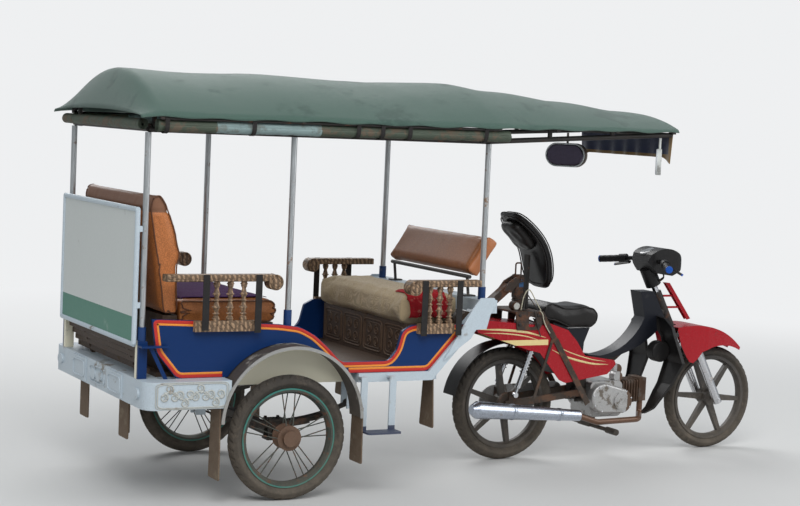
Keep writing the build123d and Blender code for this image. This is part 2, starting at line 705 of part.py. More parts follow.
def front_armrests():
    """The pair beside the rear-facing seat."""
    return both_sides(armrest(**FRONT_ARM))


# x and bottom of each flat strap, and the height of the rail that it hangs on
STRAPS = ((-400, 748, REAR_ARM["top"]), (-160, 735, REAR_ARM["top"]),
          (650, 705, FRONT_ARM["top"]), (828, 705, FRONT_ARM["top"]))


def armrest_straps():
    """Flat straps that tie each top rail down past its lower rail."""
    straps = None
    y = RAIL_Y[1] + SEAT_GAP
    for x, low, high in STRAPS:
        tape = block((x - STRAP_W / 2, x + STRAP_W / 2), (-y - STRAP_T, -y), (low, high))
        straps = tape if straps is None else straps + tape
    return both_sides(straps)


# Carriage: roof

SOCKET_R = PANEL_OUT - PANEL_T - SEAT_GAP - POST_Y

# x, foot and socket top of each roof post
POSTS = (
    (POST_X[0], 700.0, 758.0),
    (POST_X[1], 695.0, 823.0),
    (POST_X[2], NOSE_Z + SEAT_GAP, 918.0),
)
ROOF_TUBE = 12.0
ROLL_R = 33.0
ROLL_Y = POST_Y + 62.0
ROLL_X = (-640.0, 1050.0)
REAR_ROLL_R = 28.0
REAR_ROLL_HALF = ROLL_Y - ROLL_R - 7.0
CANOPY_T = 6.0


def roof_posts():
    """Six upright tubes, each in a socket at its foot."""
    posts = None
    for x, foot, cuff in POSTS:
        post = rod((x, -POST_Y, foot), (x, -POST_Y, POST_TOP), POST_R)
        post += rod((x, -POST_Y, foot), (x, -POST_Y, cuff), SOCKET_R)
        posts = post if posts is None else posts + post
    return both_sides(posts)


def roof_half_width(x):
    """Half the roof's width at a place along it: full at the rear, narrower in front."""
    if x <= POST_X[2]:
        return ROOF_HALF
    share = (x - POST_X[2]) / (ROOF_FRONT - POST_X[2])
    return ROOF_HALF + (ROOF_FRONT_HALF - ROOF_HALF) * share


# x, height of the edge over ROOF_EDGE_Z and share of the full rise at each section of the roof
ROOF_SHAPE = (
    (-REAR_REACH, -4.0, 0.05),
    (-640.0, 0.0, 0.97),
    (POST_X[2], 8.0, 0.96),
    (ROOF_FRONT, 22.0, 0.39),
)
ROOF_SECTIONS = [(x, ROOF_EDGE_Z + lift, ROOF_EDGE_Z + lift + share * (ROOF_CREST_Z - ROOF_EDGE_Z))
                 for x, lift, share in ROOF_SHAPE]


def roof_section(x, edge, crest, drop):
    """One arched cross-section of the roof, closed along its base."""
    half = roof_half_width(x) - drop
    arch = ThreePointArc((-half, edge - drop), (0, crest - drop), (half, edge - drop))
    base = Polyline((half, edge - drop), (half, edge - 14), (-half, edge - 14), (-half, edge - drop))
    return Plane(origin=(x, 0, 0), x_dir=(0, 1, 0), z_dir=(1, 0, 0)) * make_face(Curve() + [arch, base])


def canopy():
    """The cloth roof: a thin arched shell with a hip at the rear."""
    outer = loft([roof_section(*row, 0) for row in ROOF_SECTIONS], ruled=True)
    inner = loft([roof_section(*row, CANOPY_T) for row in ROOF_SECTIONS], ruled=True)
    return outer - Pos(0, 0, -0.01) * inner


def roof_at(x):
    """Height of the roof's edge and of its crest at a place along it, ahead of the hip."""
    rear, front = (ROOF_SECTIONS[1], ROOF_SECTIONS[2]) if x < POST_X[2] else ROOF_SECTIONS[2:]
    share = (x - rear[0]) / (front[0] - rear[0])
    return [a + (b - a) * share for a, b in zip(rear[1:], front[1:])]


BOW_W = 20.0
BOW_DEPTH = 14.0
BOW_X = (-629.0, POST_X[1], POST_X[2], 1330.0, 1700.0, ROOF_FRONT - 30.0)
BOW_DROP = CANOPY_T + 4 * SEAT_GAP
EDGE_RAIL_R = 6.0
EDGE_RAIL_Y = POST_Y + 90.0
EDGE_BITE = 3.0


def bow_z(x, y, drop):
    """Height at y of the arc that runs the given drop under the cloth at x."""
    half = roof_half_width(x) - CANOPY_T
    edge, crest = roof_at(x)
    radius = (half ** 2 + (crest - edge) ** 2) / (2 * (crest - edge))
    return crest - drop - radius + sqrt(radius ** 2 - y ** 2)


def edge_rail_z(x):
    """Height of the edge rail, let into the underside of the bows."""
    rear, front = (bow_z(end, EDGE_RAIL_Y, BOW_DROP + BOW_DEPTH) for end in (BOW_X[0], BOW_X[2]))
    share = (x - BOW_X[0]) / (BOW_X[2] - BOW_X[0])
    return rear + (front - rear) * share - EDGE_RAIL_R + EDGE_BITE


def roll_z(x):
    """Height of the rolled curtain under the edge rail."""
    reach = ROLL_R + EDGE_RAIL_R + SEAT_GAP
    return edge_rail_z(x) - sqrt(reach ** 2 - (EDGE_RAIL_Y - ROLL_Y) ** 2)


def bow(x):
    """A flat arched bar under the cloth, from edge to edge, on a stand at each rail."""
    half = roof_half_width(x) - CANOPY_T
    edge, crest = roof_at(x)
    arcs = []
    for drop in (BOW_DROP, BOW_DROP + BOW_DEPTH):
        arcs.append(ThreePointArc((-half, edge - drop), (0, crest - drop), (half, edge - drop)))
    ends = [Line(arcs[0] @ 1, arcs[1] @ 1), Line(arcs[1] @ 0, arcs[0] @ 0)]
    face = Plane(origin=(x, 0, 0), x_dir=(0, 1, 0), z_dir=(1, 0, 0)) * make_face(Curve() + arcs + ends)
    tip = roof_half_width(x + BOW_W / 2) - CANOPY_T - SEAT_GAP
    arch = extrude(face, BOW_W / 2, both=True) & block((x - BOW_W, x + BOW_W), (-tip, tip), (0, 2 * crest))
    foot = Vector(x, -POST_Y, POST_TOP + ROOF_TUBE)
    if x > POST_X[2]:
        foot = front_rail((x - POST_X[2]) / (ROOF_FRONT - 30 - POST_X[2]))
    head = bow_z(x, foot.Y, BOW_DROP + BOW_DEPTH / 2)
    stand = block((x - 8, x + 8), (foot.Y - 8, foot.Y + 8), (foot.Z, head))
    return arch + both_sides(stand)


def front_rail(share):
    """A point on the right rail of the front extension: 0 at the front post, 1 at its tip."""
    a = Vector(POST_X[2], -POST_Y, POST_TOP + ROOF_TUBE)
    b = Vector(ROOF_FRONT - 30, -ROOF_FRONT_HALF + 30, ROOF_EDGE_Z - 2)
    return a + (b - a) * share


def roof_frame():
    """Side rails on the posts, cross tubes, the front extension, bows and edge rails."""
    z = POST_TOP + ROOF_TUBE
    rail = rod((POST_X[0], -POST_Y, z), (POST_X[2], -POST_Y, z), ROOF_TUBE)
    front = front_rail(1.0)
    rail += rod((POST_X[2], -POST_Y, z), front, ROOF_TUBE)
    ends = [(x, -EDGE_RAIL_Y, edge_rail_z(x)) for x in (BOW_X[0], BOW_X[2] + BOW_W / 2)]
    rail += rod(*ends, EDGE_RAIL_R)
    frame = both_sides(rail)
    for x in POST_X:
        frame += rod((x, -POST_Y, z), (x, POST_Y, z), ROOF_TUBE - 2)
    frame += rod(front, (front.X, -front.Y, front.Z), ROOF_TUBE - 2)
    for x in BOW_X:
        frame += bow(x)
    return frame


def side_curtains():
    """The clear and cloth curtains, rolled up along both sides."""
    rear, front = ((x, -ROLL_Y, roll_z(x)) for x in ROLL_X)
    return both_sides(rod(rear, front, ROLL_R))


def rear_curtain():
    """The rear curtain, rolled up across the tail."""
    rail_z = POST_TOP + ROOF_TUBE
    reach = REAR_ROLL_R + ROOF_TUBE - 2 + SEAT_GAP
    z = roll_z(ROLL_X[0])
    x = POST_X[0] - sqrt(reach ** 2 - (z - rail_z) ** 2)
    return rod((x, -REAR_ROLL_HALF, z), (x, REAR_ROLL_HALF, z), REAR_ROLL_R)


VALANCE_T = 5.0
VALANCE_X = ROOF_FRONT - 30 + ROOF_TUBE - 2 + SEAT_GAP


def front_valance():
    """The blue cloth strip that hangs across the front of the roof."""
    half = ROOF_FRONT_HALF - 30
    top = ROOF_EDGE_Z + 6
    shape = Polyline((-half, top), (-half, top - 150), (-half + 60, top - 116), (half - 60, top - 116),
                     (half, top - 150), (half, top), close=True)
    sheet = Plane(origin=(VALANCE_X, 0, 0), x_dir=(0, 1, 0), z_dir=(1, 0, 0)) * make_face(shape)
    return extrude(sheet, VALANCE_T)


MIRROR_SHARE = 0.938
MIRROR_Z = 1515.0
MIRROR_SIZE = (222.0, 126.0)
MIRROR_T = 22.0
MIRROR_TURN = 36.0


def mirrors():
    """Two long mirrors hung from the front of the roof, turned to the rider."""
    shell = extrude(Plane.YZ * SlotOverall(MIRROR_SIZE[0], MIRROR_SIZE[1]), MIRROR_T / 2, both=True)
    hook = front_rail(MIRROR_SHARE)
    shell = Pos(hook.X, hook.Y, MIRROR_Z) * Rot(0, 0, -MIRROR_TURN) * shell
    stem = rod((hook.X, hook.Y, MIRROR_Z + 50), (hook.X, hook.Y, hook.Z - ROOF_TUBE - 3 * SEAT_GAP), 6)
    return both_sides(shell + stem)


# Hinge between carriage and motorcycle

KINGPIN_R = 12.0
HEAD_W = LUG_GAP - 2.0
RACK_Z = 752.0
BOSS_R = 26.0
BOSS_TOP = 808.0
BEARING_LOW = BOSS_TOP + 2.0
HEAD_HALF = 24.0
HOOP_R = 4.0
HOOP_H = 58.0


def hitch_head():
    """The hinge head: a cross pin in the drawbar's lugs over a kingpin, with a lifting hoop."""
    top = PITCH_Z + 18
    head = block((KINGPIN_X - HEAD_HALF, KINGPIN_X + HEAD_HALF), (-HEAD_W / 2, HEAD_W / 2), (BEARING_LOW, top))
    head = fillet(head.edges().filter_by(Axis.Z), 8)
    head += rod((KINGPIN_X, -LUG_GAP / 2 - LUG_T - 6, PITCH_Z),
                (KINGPIN_X, LUG_GAP / 2 + LUG_T + 6, PITCH_Z), PITCH_PIN_R)
    head += rod((KINGPIN_X, 0, RACK_Z + 14), (KINGPIN_X, 0, BEARING_LOW + 4), KINGPIN_R)
    leg = HEAD_HALF - 2 * HOOP_R
    hoop = [(KINGPIN_X - leg, 0, top - 2), (KINGPIN_X - leg, 0, top + HOOP_H),
            (KINGPIN_X + leg, 0, top + HOOP_H), (KINGPIN_X + leg, 0, top - 2)]
    return head + bent_pipe(hoop, [10, 10], HOOP_R)


# Motorcycle: frame and running gear

SWING_PIVOT = (1862.0, 332.0)
SWING_Y = 66.0
SWING_IN = 51.0
BRAKE_R = 62.0
FENDER_TUBE = (1545.0, 618.0)
COWL_OUT = 126.0
COWL_IN = 121.0
SHOCK_TOP = (1545.0, 625.0)
SHOCK_FOOT = (1440.0, 335.0)
SHOCK_Y = 98.0
SPRING_COIL_R = 20.0
COIL_WIRE = 6.0
COIL_CORE_R = 14.0
COIL_TURNS = 10


def axis_x(z):
    """Where the steering axis passes at height z."""
    foot_x = FRONT_AXLE_X - FORK_OFFSET * cos(radians(RAKE))
    foot_z = FRONT_R - FORK_OFFSET * sin(radians(RAKE))
    return foot_x - (z - foot_z) * tan(radians(RAKE))


HEAD_LOW = 625.0
HEAD_HIGH = 830.0
HEAD_R = 26.0
STEM_R = 16.0
STEM_GAP = 0.06
STEM_TOP = 945.0
BACKBONE_R = 24.0
NECK_Z = 740.0


def backbone(r):
    """The main tube from the head tube back over the engine to the rear subframe."""
    neck = (axis_x(NECK_Z), 0, NECK_Z)
    return bent_pipe([neck, (2066, 0, 492), (SWING_PIVOT[0] - 4, 0, 468), (1560, 0, 600)], [70, 60], r)


def steering_axis(low, high, r):
    """A round solid on the steering axis between two heights."""
    return rod((axis_x(low), 0, low), (axis_x(high), 0, high), r)


ENGINE_REAR = 1892.0
ENGINE_LOW = 205.0
PEG_X = 1935.0
PEG_Z = 157.0


STRUT_FOOT = (1842.0, 296.0)
RACK_IN = COWL_OUT + SEAT_GAP
PAN_IN = 90.0

# x, z and half length of each cross tube of the motorcycle's frame
CROSS_TUBES = (
    (FENDER_TUBE[0], FENDER_TUBE[1], 72.0),
    (1320.0, 639.0, COWL_IN - SEAT_GAP),
    (1840.0, 497.0, 60.0),
    (1800.0, 535.0, PAN_IN - SEAT_GAP),
    (1905.0, 478.0, COWL_IN - SEAT_GAP),
    (SWING_PIVOT[0], SWING_PIVOT[1], SWING_IN - SEAT_GAP),
    (STRUT_FOOT[0], STRUT_FOOT[1], RACK_IN - SEAT_GAP),
)


def bike_frame():
    """Main tube, head tube, rear subframe, pivot plates and the footrest bar."""
    frame = backbone(BACKBONE_R) + steering_axis(HEAD_LOW, HEAD_HIGH, HEAD_R)
    rail = bent_pipe([(1850, -60, 500), (1545, -74, 618), (1300, -60, 640)], [120], 11)
    pivot = outline([(1828, 280), (ENGINE_REAR - SEAT_GAP, 280), (ENGINE_REAR - SEAT_GAP, 500), (1830, 510)])
    rail += plate(pivot, (-44, -38))
    frame += both_sides(rail)
    for x, z, y in CROSS_TUBES:
        frame += rod((x, -y, z), (x, y, z), 9)
    for side in (-1, 1):
        eye = side * (SHOCK_Y - 9 - SEAT_GAP)
        frame += rod((SHOCK_TOP[0], side * 60, SHOCK_TOP[1]), (SHOCK_TOP[0], eye, SHOCK_TOP[1]), 8)
    pegs = rod((PEG_X, -265, PEG_Z), (PEG_X, 265, PEG_Z), 10)
    for side in (-1, 1):
        pegs += rod((PEG_X, side * 190, PEG_Z), (PEG_X, side * 272, PEG_Z), 16)
    pegs += block((PEG_X - 18, PEG_X + 18), (-50, 50), (PEG_Z - 8, ENGINE_LOW - SEAT_GAP))
    return frame + pegs - steering_axis(HEAD_LOW - 60, HEAD_HIGH + 60, STEM_R + STEM_GAP)


def swingarm():
    """Two arms from the pivot tube to the rear axle, with the axle itself."""
    arm = bar((SWING_PIVOT[0], -SWING_Y, SWING_PIVOT[1]), (REAR_AXLE_X - 24, -SWING_Y, REAR_R + 3), 18, 34)
    lug = outline([(1418, 285), (1470, 285), (1456, SHOCK_FOOT[1] + 14), (1424, SHOCK_FOOT[1] + 14)])
    arm += plate(lug, (-SWING_Y - 9, -SWING_Y + 1))
    arm += rod((SHOCK_FOOT[0], -SWING_Y, SHOCK_FOOT[1]), (SHOCK_FOOT[0], -SHOCK_Y + 9 + SEAT_GAP, SHOCK_FOOT[1]), 7)
    arms = both_sides(arm)
    tube = rod((SWING_PIVOT[0], -SWING_Y, SWING_PIVOT[1]), (SWING_PIVOT[0], SWING_Y, SWING_PIVOT[1]), 18)
    gap = rod((SWING_PIVOT[0], -SWING_IN, SWING_PIVOT[1]), (SWING_PIVOT[0], SWING_IN, SWING_PIVOT[1]), 30)
    arms += tube - gap
    arms += rod((REAR_AXLE_X, -90, REAR_R), (REAR_AXLE_X, 90, REAR_R), AXLE_R)
    return arms + rod((REAR_AXLE_X, -SWING_Y + 5, REAR_R), (REAR_AXLE_X, -CAST_HUB_HALF - 5, REAR_R), BRAKE_R)


def shock_absorbers():
    """Two coil shocks between the subframe and the swingarm's ends."""
    top = Vector(SHOCK_TOP[0], -SHOCK_Y, SHOCK_TOP[1])
    foot = Vector(SHOCK_FOOT[0], -SHOCK_Y, SHOCK_FOOT[1])
    run = foot - top
    shock = rod(top, foot, 7)
    shock += rod(top + run * 0.08, top + run * 0.62, COIL_CORE_R)
    for n in range(COIL_TURNS):
        turn = top + run * (0.10 + 0.50 * n / (COIL_TURNS - 1))
        shock += rod(turn, turn + run.normalized() * COIL_WIRE, SPRING_COIL_R)
    shock += rod(top + run * 0.60, top + run * 0.88, 14)
    for point in (top, foot):
        shock += rod(point - Vector(0, 9, 0), point + Vector(0, 9, 0), 13)
    return both_sides(shock)


CASE_Y = (SWING_Y + 9 + SEAT_GAP, 84.0)


def chain_case():
    """The closed case over the chain, on the left."""
    shape = make_hull((Pos(REAR_AXLE_X - 8, REAR_R) * Circle(78) + Pos(1775, 318) * Circle(50)).edges())
    shell = plate(shape, CASE_Y)
    shell -= rod((REAR_AXLE_X, 60, REAR_R), (REAR_AXLE_X, 120, REAR_R), 14)
    return shell - rod((SHOCK_FOOT[0], 60, SHOCK_FOOT[1]), (SHOCK_FOOT[0], 120, SHOCK_FOOT[1]), 8)


CASE_HALF = 88.0
# x, z and radius of the two rounds of the silver side cover, and of its raised cap
SIDE_COVER = ((1952.0, 304.0, 76.0), (2062.0, 288.0, 62.0))
COVER_CAP = (2052.0, 290.0, 44.0)
COVER_OUT = 132.0
FIN_PITCH = 17.0
FIN_COUNT = 7
CARB = (2088.0, 438.0, 26.0)


def engine():
    """Crankcase, silver side cover, forward-lying finned cylinder and carburettor."""
    case = block((ENGINE_REAR, 2085), (-CASE_HALF, CASE_HALF), (ENGINE_LOW, 385))
    case = fillet(case.edges().filter_by(Axis.Y), 26)
    rounds = [Pos(x, z) * Circle(r) for x, z, r in SIDE_COVER]
    cover = plate(make_hull((rounds[0] + rounds[1]).edges()), (-COVER_OUT, -CASE_HALF + 1))
    cover = fillet(cover.edges().group_by(Axis.Y)[0], 12)
    case += cover
    x, z, r = COVER_CAP
    case += rod((x, -COVER_OUT - 7, z), (x, -COVER_OUT + 1, z), r)
    x, z, r = SIDE_COVER[0]
    case += rod((x, CASE_HALF - 1, z), (x, COVER_OUT - 24, z), r)
    case += rod((2080, 0, 318), (2245, 0, 332), 38)
    for n in range(FIN_COUNT):
        fin = RectangleRounded(118, 118, 12)
        case += Pos(2098 + FIN_PITCH * n, 0, 320 + n) * Rot(0, 90, 0) * extrude(fin, 2.5, both=True)
    case += block((2215, 2258), (-52, 52), (272, 392))
    x, z, r = CARB
    case += rod((2120, 0, 366), (x, 0, z), 20) + rod((x, -34, z), (x, 34, z), r)
    return case + rod((2074, -62, 403), (2074, -20, 403), 27)


MUFFLER_REAR = (1182.0, -168.0, 282.0)
MUFFLER_FRONT = (1788.0, -150.0, 228.0)


def exhaust():
    """The tapering muffler and its header pipe, on the right."""
    along = Vector(*MUFFLER_FRONT) - Vector(*MUFFLER_REAR)
    muffler = Plane(origin=MUFFLER_REAR, z_dir=along)
    can = loft([muffler * Circle(43), muffler.offset(along.length) * Circle(27)])
    can += loft([muffler.offset(-30) * Circle(24), muffler * Circle(43)])
    header = bent_pipe([(1780, -150, 228), (1900, -150, 190), (2180, -110, 188), (2238, -30, 205),
                        (2238, -30, 271.5)], [60, 60, 30], 15)
    return can + header


FENDER_R = 312.0


def rear_fender():
    """The black guard over the motorcycle's rear tyre."""
    ring = Circle(FENDER_R) - Circle(FENDER_R - 4)
    keep = Polyline((0, 0), (560, 300), (0, 700), (-700, 480), (-700, 120), close=True)
    guard = plate(Pos(REAR_AXLE_X, REAR_R) * (ring & make_face(keep)), (-58, 58))
    hub = Vector(REAR_AXLE_X, 0, REAR_R)
    reach = Vector(FENDER_TUBE[0], 0, FENDER_TUBE[1]) - hub
    out = reach.normalized()
    return guard + rod(hub + out * (FENDER_R - 2), hub + out * (reach.length - 9 - SEAT_GAP), 7)


# Motorcycle: body

# x and z of the tail cowl's outline, from the rear tip round
TAIL_FRONT = 1600.0
TAIL = ((1182, 658), (1246, 712), (1420, 694), (TAIL_FRONT, 680), (TAIL_FRONT, 494), (1556, 545), (1486, 562))
COVER_REAR = TAIL_FRONT + SEAT_GAP
COVER = ((COVER_REAR, 694), (1714, 657), (1770, 600), (1823, 526), (2002, 499), (2012, 478), (1962, 429),
         (1713, 391), (1676, 407), (COVER_REAR, 494))


def tail_cowl():
    """The red tail: two side walls joined over the top."""
    shape = outline(TAIL)
    shape = fillet(shape.vertices().group_by(Axis.X)[0] + shape.vertices().group_by(Axis.X)[1], 10)
    below = Pos(0, -5) * shape + Pos(0, -40) * shape
    return plate(shape, (-COWL_OUT, COWL_OUT)) - plate(below, (-COWL_IN, COWL_IN))


# x and z of the front cowl's edge, down its front
STRIP = ((2376, 880), (2402, 878), (2545, 690), (2524, 684))
STRIP_HALF = 14.0
STRIP_T = 4.0


def front_strip():
    """The red edge that is left of the front cowl, a channel on two tabs from the head tube."""
    strip = outline(STRIP)
    piece = plate(strip, (-STRIP_HALF, STRIP_HALF))
    piece -= plate(Pos(-STRIP_T, -STRIP_T) * strip, (STRIP_T - STRIP_HALF, STRIP_HALF - STRIP_T))
    lean = (STRIP[3][0] - STRIP[0][0]) / (STRIP[0][1] - STRIP[3][1])
    for z in (HEAD_HIGH - 20, HEAD_HIGH - 80):
        far = STRIP[0][0] + (STRIP[0][1] - z) * lean + 20
        piece += block((axis_x(z) + HEAD_R + 6.5, far), (-5, 5), (z - 5, z + 5))
    return piece


def red_covers():
    """The red covers under the seat, one each side, and the front cowl's edge."""
    cover = outline(COVER)
    cover = fillet(cover.vertices().sort_by(Axis.X)[2:], 12)
    return both_sides(plate(cover, (-COWL_OUT, -COWL_IN))) + front_strip()


TUNNEL_HALF = 48.0
TUNNEL_WALL = 4.0
TUNNEL_REAR = ENGINE_REAR + 4.0
SADDLE_LOW = 663.0
PAN_TOP = SADDLE_LOW - SEAT_GAP


def tunnel_face():
    """The side outline of the slim cover: over the main tube, then up behind the head tube."""
    rear_top = Line((TUNNEL_REAR, 520), (1960, 512))
    sweep_up = ThreePointArc((1960, 512), (2122, 572), (2230, 705))
    column = Polyline((2230, 705), (2198, 838), (2282, 838), (2362, 690), (2350, 668))
    under = ThreePointArc((2350, 668), (2180, 548), (1960, 492))
    end = Polyline((1960, 492), (TUNNEL_REAR, 492), (TUNNEL_REAR, 520))
    return make_face(Curve() + [rear_top, sweep_up, column, under, end])


def tunnel_cover():
    """The slim dark step-through cover, an open channel, and the panels under the saddle."""
    shape = tunnel_face()
    hollow = Pos(TUNNEL_WALL, -TUNNEL_WALL) * shape + Pos(40, -30) * shape + Pos(20, -16) * shape
    inner = TUNNEL_HALF - TUNNEL_WALL
    shell = plate(shape, (-TUNNEL_HALF, TUNNEL_HALF)) - plate(hollow, (-inner, inner))
    shell -= steering_axis(HEAD_LOW - 100, HEAD_HIGH + 100, HEAD_R + SEAT_GAP)
    shell -= backbone(BACKBONE_R + SEAT_GAP)
    pan = outline([(1640, PAN_TOP + 30), (1735, PAN_TOP), (1862, PAN_TOP), (1832, 590), (1826, 508), (1742, 540)])
    return shell + both_sides(plate(pan, (-PAN_IN - 6, -PAN_IN)))


# x and z down the shield's front, and y and z round one wing, seen from ahead
SHIELD_FRONT = ((2318, 716), (2330, 628), (2362, 482), (2322, 372), (2245, 250), (2190, 206))
SHIELD_WING = ((48.3, 712), (120, 706), (178, 668), (200, 600), (236, 486), (204, 395), (158, 244), (128, 216),
               (100, 232), (84, 330), (76, 480), (76, 610), (48.3, 640))
SHIELD_T = 5.0
SHIELD_RIM = 18.0
POD = (2290.0, 535.0, 54.0)


def leg_shield():
    """The black shield behind the front wheel: two curved wings, and a pod behind the right one."""
    def band(near, far):
        points = [(x - near, z) for x, z in SHIELD_FRONT] + [(x - far, z) for x, z in reversed(SHIELD_FRONT)]
        return plate(outline(points), (-300, -TUNNEL_HALF - SEAT_GAP))
    view = outline([(-y, z) for y, z in SHIELD_WING])
    view = fillet(view.vertices().sort_by(Axis.X)[:-2], 12)
    wing = band(0, SHIELD_RIM) & across(view, 2000, 500)
    wing -= band(SHIELD_T, SHIELD_RIM + 20) & across(offset(view, -4), 2000, 500)
    x, z, r = POD
    pod = fillet(rod((x, -126, z), (x, -66, z), r).edges(), 8)
    return both_sides(wing) + pod


# x and z round the saddle, from its rear foot over the top
SADDLE = ((1574, 742), (1588, 786), (1630, 792), (1690, 774), (1760, 771), (1823, 778), (1880, 764), (1907, 732),
          (1901, 692), (1866, SADDLE_LOW), (1735, SADDLE_LOW), (1650, 694), (1592, 712))


def rider_seat():
    """The rider's thick saddle."""
    return plate(outline(SADDLE, 8), (-112, 112))


RACK_T = 6.0
RACK_X = (1400.0, 1562.0)
UPRIGHT_X = 1532.0
UPRIGHT_TOP = 1022.0
DRUM = (1442.0, 23.0)


def hitch_rack():
    """The steel rack that carries the hinge: plates, boss, drum, struts and side plates."""
    rack = block(RACK_X, (-RACK_IN - RACK_T, RACK_IN + RACK_T), (RACK_Z - 8, RACK_Z))
    rack += rod((KINGPIN_X, 0, RACK_Z), (KINGPIN_X, 0, BOSS_TOP), BOSS_R)
    x, r = DRUM
    rack += rod((x, -70, RACK_Z + r - 1), (x, -30, RACK_Z + r - 1), r)
    cheek = outline([(RACK_X[0], RACK_Z), (RACK_X[1] - 4, RACK_Z), (1556, 690), (1540, 661), (1412, 663)])
    window = outline([(1478, 676), (1516, 676), (1516, 728), (1478, 728)], 8)
    for side in (-1, 1):
        y = side * (RACK_IN + RACK_T / 2)
        rack += plate(cheek - window, (y - RACK_T / 2, y + RACK_T / 2))
        rack += bar((1548, y, RACK_Z - 6), (1640, y, 604), RACK_T, 30)
        rack += bar((1640, y, 610), (STRUT_FOOT[0] + 8, y, STRUT_FOOT[1] - 14), RACK_T, 30)
        rack += bar((1622, y, 612), (1530, y, 320), RACK_T, 14)
    bore = rod((KINGPIN_X, 0, RACK_Z - 20), (KINGPIN_X, 0, BOSS_TOP + 20), KINGPIN_R + FIT)
    return rack - bore


SHELL_HALF = 135.0
SHELL_LENGTH = 442.0


def driver_backrest():
    """The padded shell behind the rider, bowed forward, with a bolster on its back."""
    front = ThreePointArc((1425, 1245), (1586, 1080), (1640, 860))
    rear = ThreePointArc((1590, 850), (1534, 1062), (1385, 1225))
    ends = [Line(front @ 1, rear @ 0), Line(rear @ 1, front @ 0)]
    band = plate(make_face(Curve() + [front, rear] + ends), (-SHELL_HALF, SHELL_HALF))
    along = Vector(*(front @ 0)) - Vector(*(front @ 1))
    face = Plane(origin=(1620, 0, 855), x_dir=(0, 1, 0), z_dir=(along.Y, 0, -along.X))
    trim = extrude(face * Pos(0, SHELL_LENGTH / 2) * RectangleRounded(2 * SHELL_HALF, SHELL_LENGTH, 100),
                   160, both=True)
    low = UPRIGHT_TOP + SEAT_GAP
    bolster = outline([(1400, 1150), (1440, 1190), (1562, 1060), (1556, low), (1512, low), (1470, 1050)], 6)
    return (band & trim) + plate(bolster, (-80, 80))


def backrest_upright():
    """The steel upright on the rack that carries the rider's backrest."""
    return block((UPRIGHT_X - 5, UPRIGHT_X + 5), (-20, 20), (RACK_Z + SEAT_GAP, UPRIGHT_TOP))


# Motorcycle: steered parts

LEG_Y = 82.0
YOKE_T = 20.0
SLIDER_H = 318.0
SLIDER_R = 22.0


def fork():
    """Stem, lower yoke, two legs and the front axle."""
    low = HEAD_LOW - 26
    parts = rod((axis_x(low - 10), 0, low - 10), (axis_x(STEM_TOP), 0, STEM_TOP), STEM_R)
    up = Vector(-sin(radians(RAKE)), 0, cos(radians(RAKE)))
    axle_at = Vector(FRONT_AXLE_X, 0, FRONT_R)
    reach = (low - FRONT_R + FORK_OFFSET * sin(radians(RAKE))) / cos(radians(RAKE)) + YOKE_T
    for side in (-1, 1):
        foot = axle_at + Vector(0, side * LEG_Y, 0)
        parts += rod(foot - up * 22, foot + up * SLIDER_H, SLIDER_R)
        parts += rod(foot + up * SLIDER_H, foot + up * reach, 14)
    yoke = Plane(origin=(axis_x(low), 0, low), x_dir=(0, 1, 0), z_dir=up)
    tips = [Pos(side * LEG_Y, -FORK_OFFSET) * Circle(22) for side in (-1, 1)]
    face = make_hull((Circle(26) + tips).edges())
    parts += extrude(yoke * face, YOKE_T)
    parts += rod((FRONT_AXLE_X, -LEG_Y - 28, FRONT_R), (FRONT_AXLE_X, LEG_Y + 28, FRONT_R), AXLE_R)
    return parts


FENDER_WALL = 4.0
FENDER_HALF = LEG_Y + SLIDER_R + SEAT_GAP + FENDER_WALL


def front_fender():
    """The red guard over the front tyre, with deep sides round the fork legs."""
    def side(drop):
        ridge = ThreePointArc((2500, 664 - drop), (2700, 629 - drop), (2856, 536 - drop))
        mouth = ThreePointArc((2850, 522 - drop), (2740, 552 - drop), (2628, 546 - drop))
        skirt = [(2628, 546), (2566, 524), (2536, 488), (2508, 468), (2486, 474), (2464, 501), (2427, 564),
                 (2402, 640), (2402, 656), (2500, 664)]
        back = Polyline(*[(x, z - drop) for x, z in skirt])
        return make_face(Curve() + [ridge, Line(ridge @ 1, mouth @ 0), mouth, back])

    def plan(inset):
        half = FENDER_HALF - inset
        points = [(2380, -half), (2600, -half), (2720, -half + 20), (2860 - inset, -50 + inset)]
        return make_face(Polyline(*points, *[(x, -y) for x, y in reversed(points)], close=True))

    outer = plate(side(0), (-FENDER_HALF, FENDER_HALF)) & extrude(plan(0), 1000)
    below = side(FENDER_WALL) + side(50) + side(110)
    shell = outer - (plate(below, (-FENDER_HALF, FENDER_HALF)) & extrude(plan(FENDER_WALL), 1000))
    return shell - steering_axis(HEAD_LOW - 80, HEAD_LOW + 80, HEAD_R + 9)


HEAD_COWL_HALF = 88.0
LAMP_R = 50.0
LAMP_X = 2424.0
LAMP_Z = 985.0


def handlebar_cowl():
    """The black head cowl round the middle of the handlebar, with its lamp and neck."""
    crown = ThreePointArc((2228, 1030), (2310, 1062), (2396, 1040))
    brow = ThreePointArc((2396, 1040), (2426, 1000), (2418, 950))
    chin = Polyline((2418, 950), (2360, 922), (2262, 935), (2214, 992), (2228, 1030))
    side = plate(make_face(Curve() + [crown, brow, chin]), (-HEAD_COWL_HALF, HEAD_COWL_HALF))
    plan = make_face(Polyline((2200, -HEAD_COWL_HALF), (2440, -HEAD_COWL_HALF), (2440, HEAD_COWL_HALF),
                              (2200, HEAD_COWL_HALF), close=True))
    cowl = side & extrude(fillet(plan.vertices(), 55), 2000)
    lamp = rod((LAMP_X - 30, 0, LAMP_Z), (LAMP_X + 10, 0, LAMP_Z), LAMP_R)
    neck = steering_axis(HEAD_HIGH + 38, STEM_TOP + 10, 40)
    return cowl + lamp + neck - steering_axis(HEAD_HIGH, STEM_TOP + SEAT_GAP, STEM_R + SEAT_GAP)


